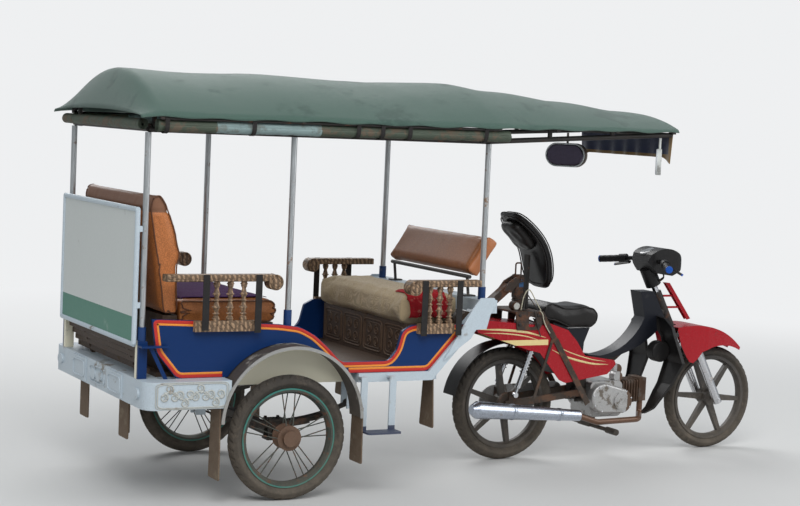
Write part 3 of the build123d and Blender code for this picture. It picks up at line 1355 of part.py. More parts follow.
GRIP_END = Vector(2175, -310, 975)
BAR_BEND = Vector(2268, -130, 996)
GRIP_LENGTH = 120.0
GRIP_R = 17.0
SWITCH_R = 23.0
SWITCH_LENGTH = 42.0


def handlebar():
    """The bar with its grips, switch housings and levers."""
    along = (BAR_BEND - GRIP_END).normalized()
    root = Vector(BAR_BEND.X, -HEAD_COWL_HALF - SEAT_GAP, BAR_BEND.Z)
    bars = bent_pipe([GRIP_END, BAR_BEND, root], [30], 11)
    switch = GRIP_END + along * GRIP_LENGTH
    bars += rod(GRIP_END, switch, GRIP_R)
    bars += rod(switch, switch + along * SWITCH_LENGTH, SWITCH_R)
    pivot = switch + along * SWITCH_LENGTH / 2
    lever = pivot + Vector(42, 4, -20)
    bars += rod(pivot, lever, 8)
    bars += bar(lever, lever + Vector(-16, -118, -22), 12, 8)
    return both_sides(bars)


PARTS = dict(
    chassis_frame=chassis_frame,
    drawbar=drawbar,
    axle=axle,
    leaf_springs=leaf_springs,
    floor_deck=floor_deck,
    side_panel_right=lambda: side_panel() + wheel_board(),
    side_panel_left=lambda: left_of(side_panel() + wheel_board()),
    bumper=bumper,
    rear_shelf=rear_shelf,
    corner_posts=corner_posts,
    sign_board=sign_board,
    sign_frame=sign_frame,
    mudguards=mudguards,
    mud_flaps=mud_flaps,
    steps=steps,
    rear_seat_base=rear_seat_base,
    rear_seat_cushion=rear_seat_cushion,
    rear_backrest=rear_backrest,
    front_seat_box=front_seat_box,
    front_seat_cushion=front_seat_cushion,
    front_backrest=front_backrest,
    backrest_brackets=backrest_brackets,
    rear_armrests=rear_armrests,
    front_armrests=front_armrests,
    armrest_straps=armrest_straps,
    roof_posts=roof_posts,
    roof_frame=roof_frame,
    canopy=canopy,
    side_curtains=side_curtains,
    rear_curtain=rear_curtain,
    front_valance=front_valance,
    mirrors=mirrors,
    wheel_right_rim=lambda: carriage_wheel_place(-1) * carriage_rim(-1),
    wheel_right_tyre=lambda: carriage_wheel_place(-1) * tyre(**CARRIAGE_TYRE),
    wheel_left_rim=lambda: carriage_wheel_place(1) * carriage_rim(1),
    wheel_left_tyre=lambda: carriage_wheel_place(1) * tyre(**CARRIAGE_TYRE),
    hitch_head=hitch_head,
    bike_frame=bike_frame,
    hitch_rack=hitch_rack,
    engine=engine,
    exhaust=exhaust,
    swingarm=swingarm,
    shock_absorbers=shock_absorbers,
    chain_case=chain_case,
    rear_fender=rear_fender,
    tail_cowl=tail_cowl,
    red_covers=red_covers,
    tunnel_cover=tunnel_cover,
    leg_shield=leg_shield,
    rider_seat=rider_seat,
    driver_backrest=driver_backrest,
    backrest_upright=backrest_upright,
    fork=fork,
    front_fender=front_fender,
    handlebar_cowl=handlebar_cowl,
    handlebar=handlebar,
    bike_rear_rim=lambda: Pos(REAR_AXLE_X, 0, REAR_R) * cast_rim(REAR_TYRE, 20),
    bike_rear_tyre=lambda: Pos(REAR_AXLE_X, 0, REAR_R) * tyre(**REAR_TYRE),
    bike_front_rim=lambda: Pos(FRONT_AXLE_X, 0, FRONT_R) * cast_rim(FRONT_TYRE, 5),
    bike_front_tyre=lambda: Pos(FRONT_AXLE_X, 0, FRONT_R) * tyre(**FRONT_TYRE),
)

os.makedirs("parts", exist_ok=True)
for name, make in PARTS.items():
    export_step(Pos(-CENTRE_X, 0, 0) * make(), f"parts/{name}.step")
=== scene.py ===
import logging
import math
from dataclasses import dataclass, replace
from enum import Enum
from typing import Sequence

import bmesh
import bpy
import numpy as np
from mathutils import Matrix, Vector


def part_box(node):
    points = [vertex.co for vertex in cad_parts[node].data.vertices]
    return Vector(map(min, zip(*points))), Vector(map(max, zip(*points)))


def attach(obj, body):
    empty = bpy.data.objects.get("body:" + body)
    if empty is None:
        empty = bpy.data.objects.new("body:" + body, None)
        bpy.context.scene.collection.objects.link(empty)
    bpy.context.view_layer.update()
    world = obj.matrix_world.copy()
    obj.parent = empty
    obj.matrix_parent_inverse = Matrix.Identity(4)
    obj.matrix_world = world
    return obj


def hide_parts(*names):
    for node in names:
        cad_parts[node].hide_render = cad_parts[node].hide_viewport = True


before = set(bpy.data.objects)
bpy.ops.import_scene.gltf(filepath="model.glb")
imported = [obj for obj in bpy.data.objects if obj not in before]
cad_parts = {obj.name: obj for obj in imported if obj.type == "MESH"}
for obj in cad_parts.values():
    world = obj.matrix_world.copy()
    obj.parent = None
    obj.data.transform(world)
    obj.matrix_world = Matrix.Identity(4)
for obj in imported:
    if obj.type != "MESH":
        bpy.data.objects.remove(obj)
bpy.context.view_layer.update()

LOG = logging.getLogger("tuk_tuk")

# The frame's x, in metres, of a place measured from the carriage axle
AXLE_X = -1.119

# The side of y that each name stands for
SIDES = {-1: "right", 1: "left"}

Colour = tuple[float, float, float]
Line = tuple[tuple[float, ...], ...]
Socket = bpy.types.NodeSocket
Piece = bpy.types.Object


# Finishes


class Pattern(Enum):
    """What a finish shows close up."""

    PLAIN = "plain"
    WEAVE = "weave"
    FLECK = "fleck"
    GRAIN = "grain"
    CAST = "cast"
    BRUSHED = "brushed"
    CARVED = "carved"


@dataclass(frozen=True)
class Finish:
    """A surface whose colour, wear and relief come from nodes on Object coordinates."""

    name: str
    base: Colour
    worn: Colour
    amount: float = 0.35
    patch: float = 9.0
    rough: float = 0.45
    rough_worn: float = 0.8
    metal: float = 0.0
    metal_worn: float = 0.0
    coat: float = 0.0
    sheen: float = 0.0
    relief: float = 0.2
    pattern: Pattern = Pattern.PLAIN
    dust: float = 0.25
    dust_top: float = 0.7
    speck: float = 0.26
    specular: float = 0.4

    def material(self) -> bpy.types.Material:
        """Builds the material once and hands back the same one after that."""
        known = bpy.data.materials.get(f"look_{self.name}")
        return known or Painter(self).paint()


@dataclass(frozen=True)
class Zone:
    """A part of a finish in a colour of its own, where each span holds: X, Y, Z, SIDE for |y|, R from a hub."""

    colour: Colour
    spans: tuple[tuple[str, float, float], ...]
    hub: tuple[float, float] = (0.0, 0.0)
    metal: float | None = None


class Graph:
    """Adds nodes to a tree and joins them."""

    def __init__(self, owner: bpy.types.Material | bpy.types.World) -> None:
        """Turns the nodes of a material or world on and keeps their tree."""
        owner.use_nodes = True
        self.tree = owner.node_tree

    def node(self, kind: str, *sources: Socket, **values: object) -> bpy.types.Node:
        """Adds a node, sets its values and joins the sources to its first inputs.

        Args:
            kind: Blender's name of the node type.
            *sources: sockets for its inputs, in order.
            **values: inputs, with _ for a blank, or properties.

        Returns:
            The new node.
        """
        made = self.tree.nodes.new(kind)
        for key, value in values.items():
            if hasattr(made, key):
                setattr(made, key, value)
            else:
                made.inputs[key.replace("_", " ")].default_value = value
        for source, target in zip(sources, made.inputs):
            self.link(source, target)
        return made

    def link(self, source: Socket, target: Socket) -> None:
        """Joins two sockets."""
        self.tree.links.new(source, target)

    def put(self, value: Socket | Colour | float, target: Socket) -> None:
        """Joins a socket to the target, or sets the target to a number or colour.

        Args:
            value: what goes in.
            target: the input that takes it.
        """
        if isinstance(value, Socket):
            self.link(value, target)
        else:
            target.default_value = (*value, 1.0) if isinstance(value, (tuple, list)) else value

    def math(self, operation: str, a: Socket, b: Socket | float = 0.0) -> Socket:
        """One arithmetic step on a socket and a socket or number.

        Args:
            operation: Blender's name of the step.
            a: first value.
            b: second value.

        Returns:
            The result.
        """
        made = self.node("ShaderNodeMath", a, operation=operation)
        self.put(b, made.inputs[1])
        return made.outputs[0]

    def ramp(self, source: Socket, low: float, high: float) -> Socket:
        """A smooth step of the source between two values."""
        made = self.node("ShaderNodeMapRange", source, interpolation_type="SMOOTHSTEP", From_Min=low, From_Max=high)
        return made.outputs["Result"]


class Painter(Graph):
    """Lays out the nodes of one finish."""

    DUST: Colour = (0.33, 0.27, 0.2)
    # The noise value where half of a surface is worn, how far the amount moves it, and the edge's softness
    WEAR_MIDDLE, WEAR_REACH, WEAR_EDGE = 0.5, 0.34, 0.1
    BUMP_DEPTH = 0.0012
    ZONE_WORN = 0.55

    def __init__(self, finish: Finish) -> None:
        """Starts a material for the finish.

        Args:
            finish: the surface to lay out.
        """
        self.finish = finish
        self.stuff = bpy.data.materials.new(f"look_{finish.name}")
        super().__init__(self.stuff)
        self.shader = self.tree.nodes["Principled BSDF"]
        self.where = self.node("ShaderNodeTexCoord").outputs["Object"]
        self.zones = [(zone, self.inside(zone)) for zone in ZONES.get(finish.name, ())]

    def noise(self, scale: float, detail: float = 6.0, rough: float = 0.6) -> Socket:
        """Fractal noise on the object, from 0 to 1."""
        return self.node("ShaderNodeTexNoise", self.where, Scale=scale, Detail=detail, Roughness=rough).outputs["Fac"]

    def wave(self, scale: float, direction: str, distortion: float, detail: float = 2.0) -> Socket:
        """Bent bands along a direction, from 0 to 1."""
        return self.node("ShaderNodeTexWave", self.where, Scale=scale, bands_direction=direction,
                         Distortion=distortion, Detail=detail).outputs["Fac"]

    def streaks(self, stretch: Colour, scale: float, detail: float, distortion: float = 0.0) -> Socket:
        """Noise drawn out along one axis, from 0 to 1."""
        place = self.node("ShaderNodeMapping", self.where, Scale=stretch).outputs[0]
        return self.node("ShaderNodeTexNoise", place, Scale=scale, Detail=detail, Distortion=distortion).outputs["Fac"]

    def mix(self, share: Socket, a: Socket | Colour, b: Socket | Colour) -> Socket:
        """A blend of two colours, each a colour or a socket.

        Args:
            share: how much of the second.
            a: first colour.
            b: second colour.

        Returns:
            The blended colour.
        """
        made = self.node("ShaderNodeMix", share, data_type="RGBA")
        self.put(a, made.inputs[6])
        self.put(b, made.inputs[7])
        return made.outputs[2]

    def blend(self, share: Socket, a: float, b: float) -> Socket:
        """A number that goes from a to b as share goes from 0 to 1."""
        return self.node("ShaderNodeMapRange", share, To_Min=a, To_Max=b).outputs["Result"]

    def axis(self, name: str) -> Socket:
        """One coordinate of the point, X, Y or Z, in metres."""
        return self.node("ShaderNodeSeparateXYZ", self.where).outputs[name]

    def detail(self) -> Socket:
        """The height field of the finish's pattern, from 0 to 1.

        Returns:
            Its socket.
        """
        pattern = self.finish.pattern
        if pattern is Pattern.WEAVE:
            return self.math("MULTIPLY", self.wave(190.0, "X", 0.6), self.wave(190.0, "Y", 0.6))
        if pattern is Pattern.FLECK:
            return self.node("ShaderNodeTexVoronoi", self.where, Scale=240.0).outputs["Distance"]
        if pattern is Pattern.GRAIN:
            return self.streaks((4.0, 60.0, 60.0), 2.2, 8.0, 1.4)
        if pattern is Pattern.CARVED:
            leaf = self.math("ADD", self.wave(22.0, "DIAGONAL", 7.0), 0.35)
            return self.math("MULTIPLY", self.wave(15.0, "X", 4.0, 1.0), leaf)
        if pattern is Pattern.BRUSHED:
            return self.streaks((400.0, 400.0, 12.0), 1.0, 3.0)
        return self.noise(420.0 if pattern is Pattern.CAST else 160.0, 4.0)

    def paint(self) -> bpy.types.Material:
        """Lays colour, wear, dust, gloss and relief over the surface.

        Returns:
            The finished material.
        """
        finish, shader = self.finish, self.shader
        fine = self.detail()
        edge = self.WEAR_MIDDLE + (0.5 - finish.amount) * self.WEAR_REACH
        worn = self.ramp(self.noise(finish.patch, 10.0, 0.68), edge, edge + self.WEAR_EDGE)
        dark = [c * (1 - finish.speck) for c in finish.base]
        pale = [min(1, c * (1 + finish.speck * 0.7)) for c in finish.base]
        tone = self.mix(self.ramp(fine, 0.2, 0.8), dark, pale)
        tone = self.colour(self.mix(worn, tone, finish.worn), worn)
        low = self.ramp(self.axis("Z"), finish.dust_top, 0.0)
        film = self.math("MULTIPLY", self.math("ADD", low, 0.25), self.noise(23.0, 8.0, 0.7))
        film = self.math("MULTIPLY", film, finish.dust)
        gloss = self.blend(self.math("MAXIMUM", worn, film), finish.rough, finish.rough_worn)
        gloss = self.math("ADD", gloss, self.math("MULTIPLY", self.noise(60.0), 0.12))
        height = self.math("ADD", fine, self.math("MULTIPLY", worn, 0.8))
        bump = self.node("ShaderNodeBump", Strength=finish.relief, Distance=self.BUMP_DEPTH)
        self.link(height, bump.inputs["Height"])
        for name, value in (
            ("Base Color", self.mix(film, tone, self.DUST)), ("Roughness", gloss), ("Metallic", self.metal(worn)),
            ("Specular IOR Level", finish.specular), ("Coat Weight", finish.coat), ("Sheen Weight", finish.sheen),
            ("Normal", bump.outputs["Normal"]),
        ):
            self.put(value, shader.inputs[name])
        return self.stuff

    def reach(self, name: str, hub: tuple[float, float]) -> Socket:
        """The value that a span is measured on.

        Args:
            name: X, Y, Z, SIDE for the distance from the middle plane, or R for that from a hub.
            hub: x and z of the hub.

        Returns:
            The value, in metres.
        """
        if name == "SIDE":
            return self.math("ABSOLUTE", self.axis("Y"))
        if name != "R":
            return self.axis(name)
        across, up = (self.math("POWER", self.math("SUBTRACT", self.axis(axis), middle), 2.0)
                      for axis, middle in zip("XZ", hub))
        return self.math("POWER", self.math("ADD", across, up), 0.5)

    def inside(self, zone: Zone) -> Socket:
        """One where every span of the zone holds, nought elsewhere.

        Args:
            zone: the part of the finish.

        Returns:
            The share's socket.
        """
        share = None
        for name, low, high in zone.spans:
            line = self.reach(name, zone.hub)
            held = self.math("MULTIPLY", self.math("GREATER_THAN", line, low), self.math("LESS_THAN", line, high))
            share = held if share is None else self.math("MULTIPLY", share, held)
        return share

    def colour(self, tone: Socket, worn: Socket) -> Socket:
        """The tone with the colours of the finish's zones over it, thinner where it is worn.

        Args:
            tone: the colour without zones.
            worn: the share of wear.

        Returns:
            The colour with zones.
        """
        kept = self.blend(worn, 1.0, self.ZONE_WORN)
        for zone, share in self.zones:
            tone = self.mix(self.math("MULTIPLY", share, kept), tone, zone.colour)
        return tone

    def metal(self, worn: Socket) -> Socket | float:
        """How metallic the surface is, with wear and in each zone.

        Args:
            worn: the share of wear.

        Returns:
            A number where it is the same all over, else a socket.
        """
        finish = self.finish
        special = [(share, zone.metal) for zone, share in self.zones if zone.metal is not None]
        if finish.metal == finish.metal_worn and not special:
            return finish.metal
        value = self.blend(worn, finish.metal, finish.metal_worn)
        for share, level in special:
            kept = self.math("MULTIPLY", value, self.math("SUBTRACT", self.math("MULTIPLY", share, -1.0), -1.0))
            value = self.math("ADD", kept, self.math("MULTIPLY", share, level))
        return value


# Places beyond every piece, for spans that are open at one end
NEAR, FAR = -9.0, 9.0

# Where a finish changes colour
ZONES: dict[str, tuple[Zone, ...]] = {
    "sign_face": (Zone((0.07, 0.22, 0.16), (("Z", 0.0, 0.80),)),),
    "roll_cloth": (Zone((0.24, 0.33, 0.33), (("X", -1.50, -1.02),)),),
    "valance_cloth": (Zone((0.22, 0.13, 0.04), (("Y", NEAR, -0.375),)),
                      Zone((0.20, 0.12, 0.04), (("Z", NEAR, 1.552),))),
    "spoked_wheel": (Zone((0.02, 0.19, 0.16), (("R", 0.2115, 0.23),), (AXLE_X, 0.274), 0.1),
                     Zone((0.11, 0.052, 0.03), (("R", 0.0, 0.0575),), (AXLE_X, 0.274), 0.1)),
    "mirror_back": (Zone((0.6, 0.62, 0.6), (("Y", NEAR, 0.0),)),),
    "post_steel": (Zone((0.006, 0.04, 0.15), (("X", NEAR, -1.5), ("Z", 0.0, 0.7585)), metal=0.1),
                   Zone((0.006, 0.04, 0.15), (("X", -1.3, -0.9), ("Z", 0.0, 0.8235)), metal=0.1),
                   Zone((0.006, 0.04, 0.15), (("X", -0.3, 0.0), ("Z", 0.0, 0.9185)), metal=0.1)),
    "guard_skin": (Zone((0.42, 0.42, 0.41), (("SIDE", 0.6302, 0.64),), metal=0.8),),
    # Painted light: the wheel board's inner face inside the arch is cream, painted far brighter than its own cream (as
    # in CREAM_BOARD) so that it reads lit in the shade of the arch.
    "blue_paint": (Zone((0.80, 0.76, 0.60), (("SIDE", 0.47, 0.5065),)),),
    "rear_back": (Zone((0.21, 0.095, 0.05), (("Z", 1.235, FAR),)),),
    # Painted highlight: the near bolster of the front backrest, past its sewn channel, is painted a lighter orange as
    # if lit; the far bolster keeps the darker base brown.
    "front_back": (Zone((0.42, 0.15, 0.055), (("Y", NEAR, -0.385),)),),
    "muffler": (Zone((0.12, 0.055, 0.03), (("X", 0.668, FAR),), metal=0.25),),
    "hitch_steel": (Zone((0.02, 0.09, 0.22), (("X", 0.36, 0.412), ("Z", 0.862, 0.9)), metal=0.1),),
    "drum_steel": (Zone((0.62, 0.63, 0.6), (("Y", -0.0715, -0.069), ("R", 0.0, 0.017)), (0.323, 0.774), 0.1),),
    "control_black": (Zone((0.02, 0.09, 0.42), (("SIDE", 0.296, 0.32),)),),
    "step_paint": (Zone((0.015, 0.035, 0.09), (("Z", 0.27, 0.31), ("SIDE", 0.585, 0.67))),),
    "engine_alloy": (Zone((0.10, 0.055, 0.035), (("X", 0.966, FAR),), metal=0.3),),
    "tail_red": (Zone((0.75, 0.6, 0.28), (("Z", 0.585, 0.612),)),),
}

DIRT: Colour = (0.12, 0.09, 0.065)

WHITE_PAINT = Finish("white_paint", (0.50, 0.58, 0.64), (0.24, 0.22, 0.19), 0.22, 7, 0.4, 0.75, relief=0.3, coat=0.2,
                     speck=0.08)
BLUE_PAINT = Finish("blue_paint", (0.003, 0.028, 0.120), (0.012, 0.03, 0.08), 0.1, 6, 0.28, 0.6, dust=0.05,
                    relief=0.08, speck=0.06, specular=0.2)
CREAM_BOARD = Finish("cream_board", (0.5, 0.47, 0.36), DIRT, 0.3, 10, 0.6, 0.85)
GUARD_SKIN = Finish("guard_skin", (0.06, 0.05, 0.045), (0.3, 0.28, 0.25), 0.3, 12, 0.5, 0.8, dust=0.5)
RED_STRIPE = Finish("red_stripe", (0.50, 0.02, 0.012), (0.3, 0.05, 0.03), 0.12, 30, 0.35, 0.6, coat=0.2, dust=0.05,
                    speck=0.08)
GOLD_STRIPE = Finish("gold_stripe", (0.80, 0.27, 0.03), (0.5, 0.22, 0.05), 0.12, 30, 0.35, 0.6, coat=0.2, dust=0.05,
                     speck=0.08)
RED_PLASTIC = Finish("red_plastic", (0.35, 0.004, 0.012), (0.2, 0.012, 0.014), 0.12, 9, 0.2, 0.5, dust=0.06,
                     relief=0.06, speck=0.05, specular=0.3)
TAIL_RED = replace(RED_PLASTIC, name="tail_red")
BLACK_PLASTIC = Finish("black_plastic", (0.008, 0.008, 0.009), (0.024, 0.022, 0.021), 0.25, 14, 0.36, 0.65,
                       dust=0.07, speck=0.15, specular=0.25)
NAVY_PLASTIC = Finish("navy_plastic", (0.005, 0.007, 0.013), (0.02, 0.022, 0.026), 0.25, 12, 0.3, 0.6, dust=0.07,
                      relief=0.1, speck=0.12, specular=0.25)
RUSTY_STEEL = Finish("rusty_steel", (0.045, 0.032, 0.027), (0.10, 0.045, 0.026), 0.55, 16, 0.5, 0.9, 0.5, 0.05,
                     relief=0.7)
DARK_STEEL = Finish("dark_steel", (0.03, 0.028, 0.028), (0.09, 0.045, 0.03), 0.35, 14, 0.45, 0.85, 0.5, 0.05,
                    relief=0.4)
POST_STEEL = Finish("post_steel", (0.55, 0.57, 0.58), (0.25, 0.17, 0.12), 0.25, 18, 0.28, 0.7, 0.9, 0.3, relief=0.15,
                    pattern=Pattern.BRUSHED, dust=0.1)
CHROME = Finish("chrome", (0.7, 0.71, 0.74), (0.3, 0.22, 0.16), 0.2, 16, 0.12, 0.6, 1.0, 0.5, relief=0.05, dust=0.15)
ALLOY = Finish("alloy", (0.42, 0.42, 0.42), (0.16, 0.14, 0.12), 0.4, 18, 0.45, 0.8, 0.8, 0.3, relief=0.4,
               pattern=Pattern.CAST)
SPOKED_WHEEL = Finish("spoked_wheel", (0.045, 0.06, 0.055), (0.11, 0.05, 0.03), 0.45, 26, 0.5, 0.9, 0.4, 0.05,
                      relief=0.6, dust=0.3)
BLACK_RIM = Finish("black_rim", (0.02, 0.02, 0.022), (0.09, 0.08, 0.07), 0.3, 20, 0.4, 0.7, dust=0.35)
RUBBER = Finish("rubber", (0.022, 0.02, 0.019), (0.06, 0.05, 0.042), 0.4, 20, 0.75, 0.95, relief=0.4, dust=0.4)
FLAP = Finish("flap", (0.1, 0.06, 0.035), (0.16, 0.12, 0.08), 0.4, 14, 0.75, 0.95, relief=0.4, dust=0.4)
CANOPY = Finish("canopy", (0.060, 0.125, 0.098), (0.040, 0.082, 0.066), 0.4, 4.5, 0.62, 0.8, sheen=0.2, relief=0.35,
                pattern=Pattern.WEAVE, dust=0.08)
ROLL_CLOTH = Finish("roll_cloth", (0.075, 0.10, 0.07), (0.13, 0.10, 0.07), 0.5, 16, 0.5, 0.75, relief=0.4,
                    pattern=Pattern.WEAVE, dust=0.1)
VALANCE_CLOTH = Finish("valance_cloth", (0.012, 0.022, 0.075), (0.03, 0.04, 0.08), 0.3, 9, 0.8, 0.9, sheen=0.4,
                       pattern=Pattern.WEAVE, dust=0.1)
ORANGE_VINYL = Finish("orange_vinyl", (0.46, 0.155, 0.045), (0.25, 0.085, 0.03), 0.25, 7, 0.4, 0.65, relief=0.25,
                      pattern=Pattern.FLECK, dust=0.08)
BROWN_VINYL = Finish("brown_vinyl", (0.12, 0.045, 0.02), (0.18, 0.09, 0.045), 0.2, 7, 0.4, 0.6, relief=0.3,
                     pattern=Pattern.FLECK, dust=0.08)
BEIGE_CLOTH = Finish("beige_cloth", (0.52, 0.40, 0.24), (0.36, 0.26, 0.15), 0.25, 8, 0.85, 0.95, sheen=0.2,
                     relief=0.5, pattern=Pattern.WEAVE, dust=0.05)
BLACK_VINYL = Finish("black_vinyl", (0.009, 0.008, 0.008), (0.026, 0.022, 0.02), 0.2, 9, 0.32, 0.6, relief=0.3,
                     pattern=Pattern.FLECK, dust=0.06, specular=0.3)
CARVED_WOOD = Finish("carved_wood", (0.27, 0.175, 0.105), (0.11, 0.065, 0.04), 0.3, 22, 0.42, 0.7, relief=1.0,
                     pattern=Pattern.CARVED, dust=0.1, speck=0.5)
DARK_WOOD = Finish("dark_wood", (0.055, 0.03, 0.018), (0.1, 0.065, 0.04), 0.3, 10, 0.5, 0.8, relief=0.5,
                   pattern=Pattern.GRAIN, dust=0.3)
WEBBING = Finish("webbing", (0.012, 0.012, 0.014), (0.04, 0.035, 0.03), 0.3, 20, 0.8, 0.95, relief=0.6,
                 pattern=Pattern.WEAVE)
SIGN_FACE = Finish("sign_face", (0.62, 0.65, 0.63), (0.45, 0.46, 0.43), 0.12, 5, 0.35, 0.6, relief=0.05, dust=0.06,
                   speck=0.04)
MIRROR_BACK = Finish("mirror_back", (0.10, 0.075, 0.06), (0.05, 0.04, 0.035), 0.3, 20, 0.4, 0.7)
# Painted reflection: the glass is a dark, purple-tinted metal colour that stands in for the dark purple surroundings
# the mirror reflects, not the pale studio round it.
MIRROR_GLASS = Finish("mirror_glass", (0.10, 0.085, 0.12), (0.12, 0.11, 0.12), 0.1, 12, 0.06, 0.3, 1.0, 0.8,
                      relief=0.0, dust=0.05)

REAR_BACK = replace(ORANGE_VINYL, name="rear_back")
FRONT_BACK = replace(BROWN_VINYL, name="front_back", base=(0.27, 0.10, 0.035))
SEAT_VINYL = replace(ORANGE_VINYL, name="seat_vinyl", base=(0.34, 0.12, 0.035))
MUFFLER = replace(CHROME, name="muffler", base=(0.52, 0.57, 0.66), rough=0.2)
CARVED_PAINT = replace(WHITE_PAINT, name="carved_paint", base=(0.47, 0.49, 0.47), worn=(0.25, 0.2, 0.15),
                       amount=0.4)
BOX_CARVING = replace(DARK_WOOD, name="box_carving", base=(0.085, 0.048, 0.028))
HITCH_STEEL = replace(RUSTY_STEEL, name="hitch_steel")
DRUM_STEEL = replace(RUSTY_STEEL, name="drum_steel")
CONTROL_BLACK = replace(BLACK_PLASTIC, name="control_black")
STEP_PAINT = replace(WHITE_PAINT, name="step_paint")
BLUE_PLUG = replace(BLUE_PAINT, name="blue_plug", base=(0.01, 0.09, 0.42))
ENGINE_ALLOY = replace(ALLOY, name="engine_alloy", base=(0.5, 0.5, 0.5), rough=0.32)
GLOSS_SHELL = Finish("gloss_shell", (0.007, 0.007, 0.008), (0.03, 0.027, 0.025), 0.18, 8, 0.24, 0.5, relief=0.15,
                     dust=0.08, specular=0.35)
PURPLE_MAT = Finish("purple_mat", (0.060, 0.012, 0.085), (0.09, 0.04, 0.10), 0.25, 9, 0.85, 0.95, relief=0.5,
                    pattern=Pattern.WEAVE, dust=0.04, specular=0.2)
RED_CLOTH = Finish("red_cloth", (0.40, 0.012, 0.02), (0.42, 0.16, 0.12), 0.3, 34, 0.8, 0.95, relief=0.5,
                   pattern=Pattern.WEAVE, dust=0.03, specular=0.2)
LENS = Finish("lens", (0.55, 0.58, 0.6), (0.3, 0.3, 0.3), 0.15, 14, 0.08, 0.35, coat=0.6, relief=0.05, dust=0.25)
DIAL = Finish("dial", (0.16, 0.17, 0.18), (0.25, 0.25, 0.25), 0.2, 20, 0.08, 0.3, coat=0.6, relief=0.0, dust=0.3,
              speck=0.1)
WIRE = Finish("wire", (0.02, 0.018, 0.018), (0.12, 0.08, 0.05), 0.3, 30, 0.5, 0.8, relief=0.2, dust=0.3)
CREAM_TRIM = Finish("cream_trim", (0.70, 0.56, 0.26), (0.4, 0.3, 0.2), 0.15, 14, 0.3, 0.6, coat=0.3, dust=0.15)

# The finish of each piece of the frame
NODE_FINISH: dict[Finish, str] = {
    WHITE_PAINT: "chassis_frame bumper sign_frame", STEP_PAINT: "steps", SIGN_FACE: "sign_board",
    BLUE_PAINT: "side_panel_right side_panel_left corner_posts", GUARD_SKIN: "mudguards", FLAP: "mud_flaps",
    DARK_WOOD: "floor_deck rear_shelf rear_seat_base front_seat_box", CARVED_WOOD: "rear_armrests front_armrests",
    WEBBING: "armrest_straps", POST_STEEL: "roof_posts", MIRROR_BACK: "mirrors", HITCH_STEEL: "hitch_head",
    DARK_STEEL: "axle leaf_springs roof_frame bike_frame backrest_upright", DRUM_STEEL: "hitch_rack",
    RUSTY_STEEL: "drawbar swingarm", SPOKED_WHEEL: "wheel_right_rim wheel_left_rim",
    BLACK_RIM: "backrest_brackets bike_rear_rim bike_front_rim",
    RUBBER: "wheel_right_tyre wheel_left_tyre bike_rear_tyre bike_front_tyre",
    ENGINE_ALLOY: "engine", ALLOY: "chain_case", MUFFLER: "exhaust", CHROME: "shock_absorbers fork",
    BLACK_PLASTIC: "rear_fender leg_shield handlebar_cowl", NAVY_PLASTIC: "tunnel_cover", TAIL_RED: "tail_cowl",
    RED_PLASTIC: "red_covers front_fender", CONTROL_BLACK: "handlebar", SEAT_VINYL: "rear_seat_cushion",
    REAR_BACK: "rear_backrest", BEIGE_CLOTH: "front_seat_cushion", FRONT_BACK: "front_backrest",
    BLACK_VINYL: "rider_seat", GLOSS_SHELL: "driver_backrest", CANOPY: "canopy",
    ROLL_CLOTH: "side_curtains rear_curtain", VALANCE_CLOTH: "front_valance",
}


# Meshes


def at(x: np.ndarray | float, y: np.ndarray | float, z: np.ndarray | float) -> np.ndarray:
    """Places in the frame, with x measured from the carriage axle."""
    return np.stack(np.broadcast_arrays(AXLE_X + x, y, z), -1)


def unit(rows: np.ndarray) -> np.ndarray:
    """Each row divided by its length."""
    return rows / np.linalg.norm(rows, axis=-1, keepdims=True)


def circle(count: int, power: float = 1.0) -> np.ndarray:
    """A unit circle: cosine and sine of evenly spaced angles.

    Args:
        count: number of points.
        power: exponent on the size of each value; under 1 squares the circle off.

    Returns:
        Array of 2 by count.
    """
    turn = np.linspace(0, 2 * np.pi, count, endpoint=False)
    flat = np.stack([np.cos(turn), np.sin(turn)])
    return np.sign(flat) * np.abs(flat) ** power


def spiral(count: int, turns: float, outer: float, inner: float, start: float, way: int) -> np.ndarray:
    """A flat spiral: its radius falls evenly as its angle runs on.

    Args:
        count: number of points.
        turns: how often it goes round.
        outer: its first radius.
        inner: its last radius.
        start: its first angle.
        way: 1 or -1, the sense in which it turns.

    Returns:
        Array of 2 by count.
    """
    share = np.linspace(0, 1, count)
    angle = start + way * 2 * np.pi * turns * share
    return (outer - (outer - inner) * share) * np.stack([np.cos(angle), np.sin(angle)])


def curve(points: Sequence[Sequence[float]], count: int = 40) -> np.ndarray:
    """A smooth line through points: cubic Hermite pieces with Catmull-Rom slopes.

    Args:
        points: places that the line goes through.
        count: number of points wanted.

    Returns:
        The line, count by as many values as a place has.
    """
    knots = np.asarray(points, float)
    slope = np.gradient(knots, axis=0)
    place = np.linspace(0, len(knots) - 1 - 1e-9, count)
    i = place.astype(int)
    t = (place - i)[:, None]
    a, b, p, q = knots[i], knots[i + 1], slope[i], slope[i + 1]
    return ((2 * t**3 - 3 * t**2 + 1) * a + (t**3 - 2 * t**2 + t) * p
            + (3 * t**2 - 2 * t**3) * b + (t**3 - t**2) * q)


def smooth_noise(u: np.ndarray, v: np.ndarray, seed: int, waves: int = 7, low: float = 1.0,
                 high: float = 6.0) -> np.ndarray:
    """A gentle random relief from -1 to 1: a sum of sine waves with seeded directions.

    Args:
        u: first place of each point.
        v: second place of each point.
        seed: picks the waves.
        waves: how many are added.
        low: the slowest rate.
        high: the fastest rate.

    Returns:
        The relief, in the shape that u and v have together.
    """
    rng = np.random.default_rng(seed)
    total = np.zeros(np.broadcast(u, v).shape)
    for _ in range(waves):
        rate = rng.uniform(low, high)
        angle, phase = rng.uniform(0, 2 * np.pi, 2)
        total += np.sin(rate * (u * np.cos(angle) + v * np.sin(angle)) + phase) / waves
    return total


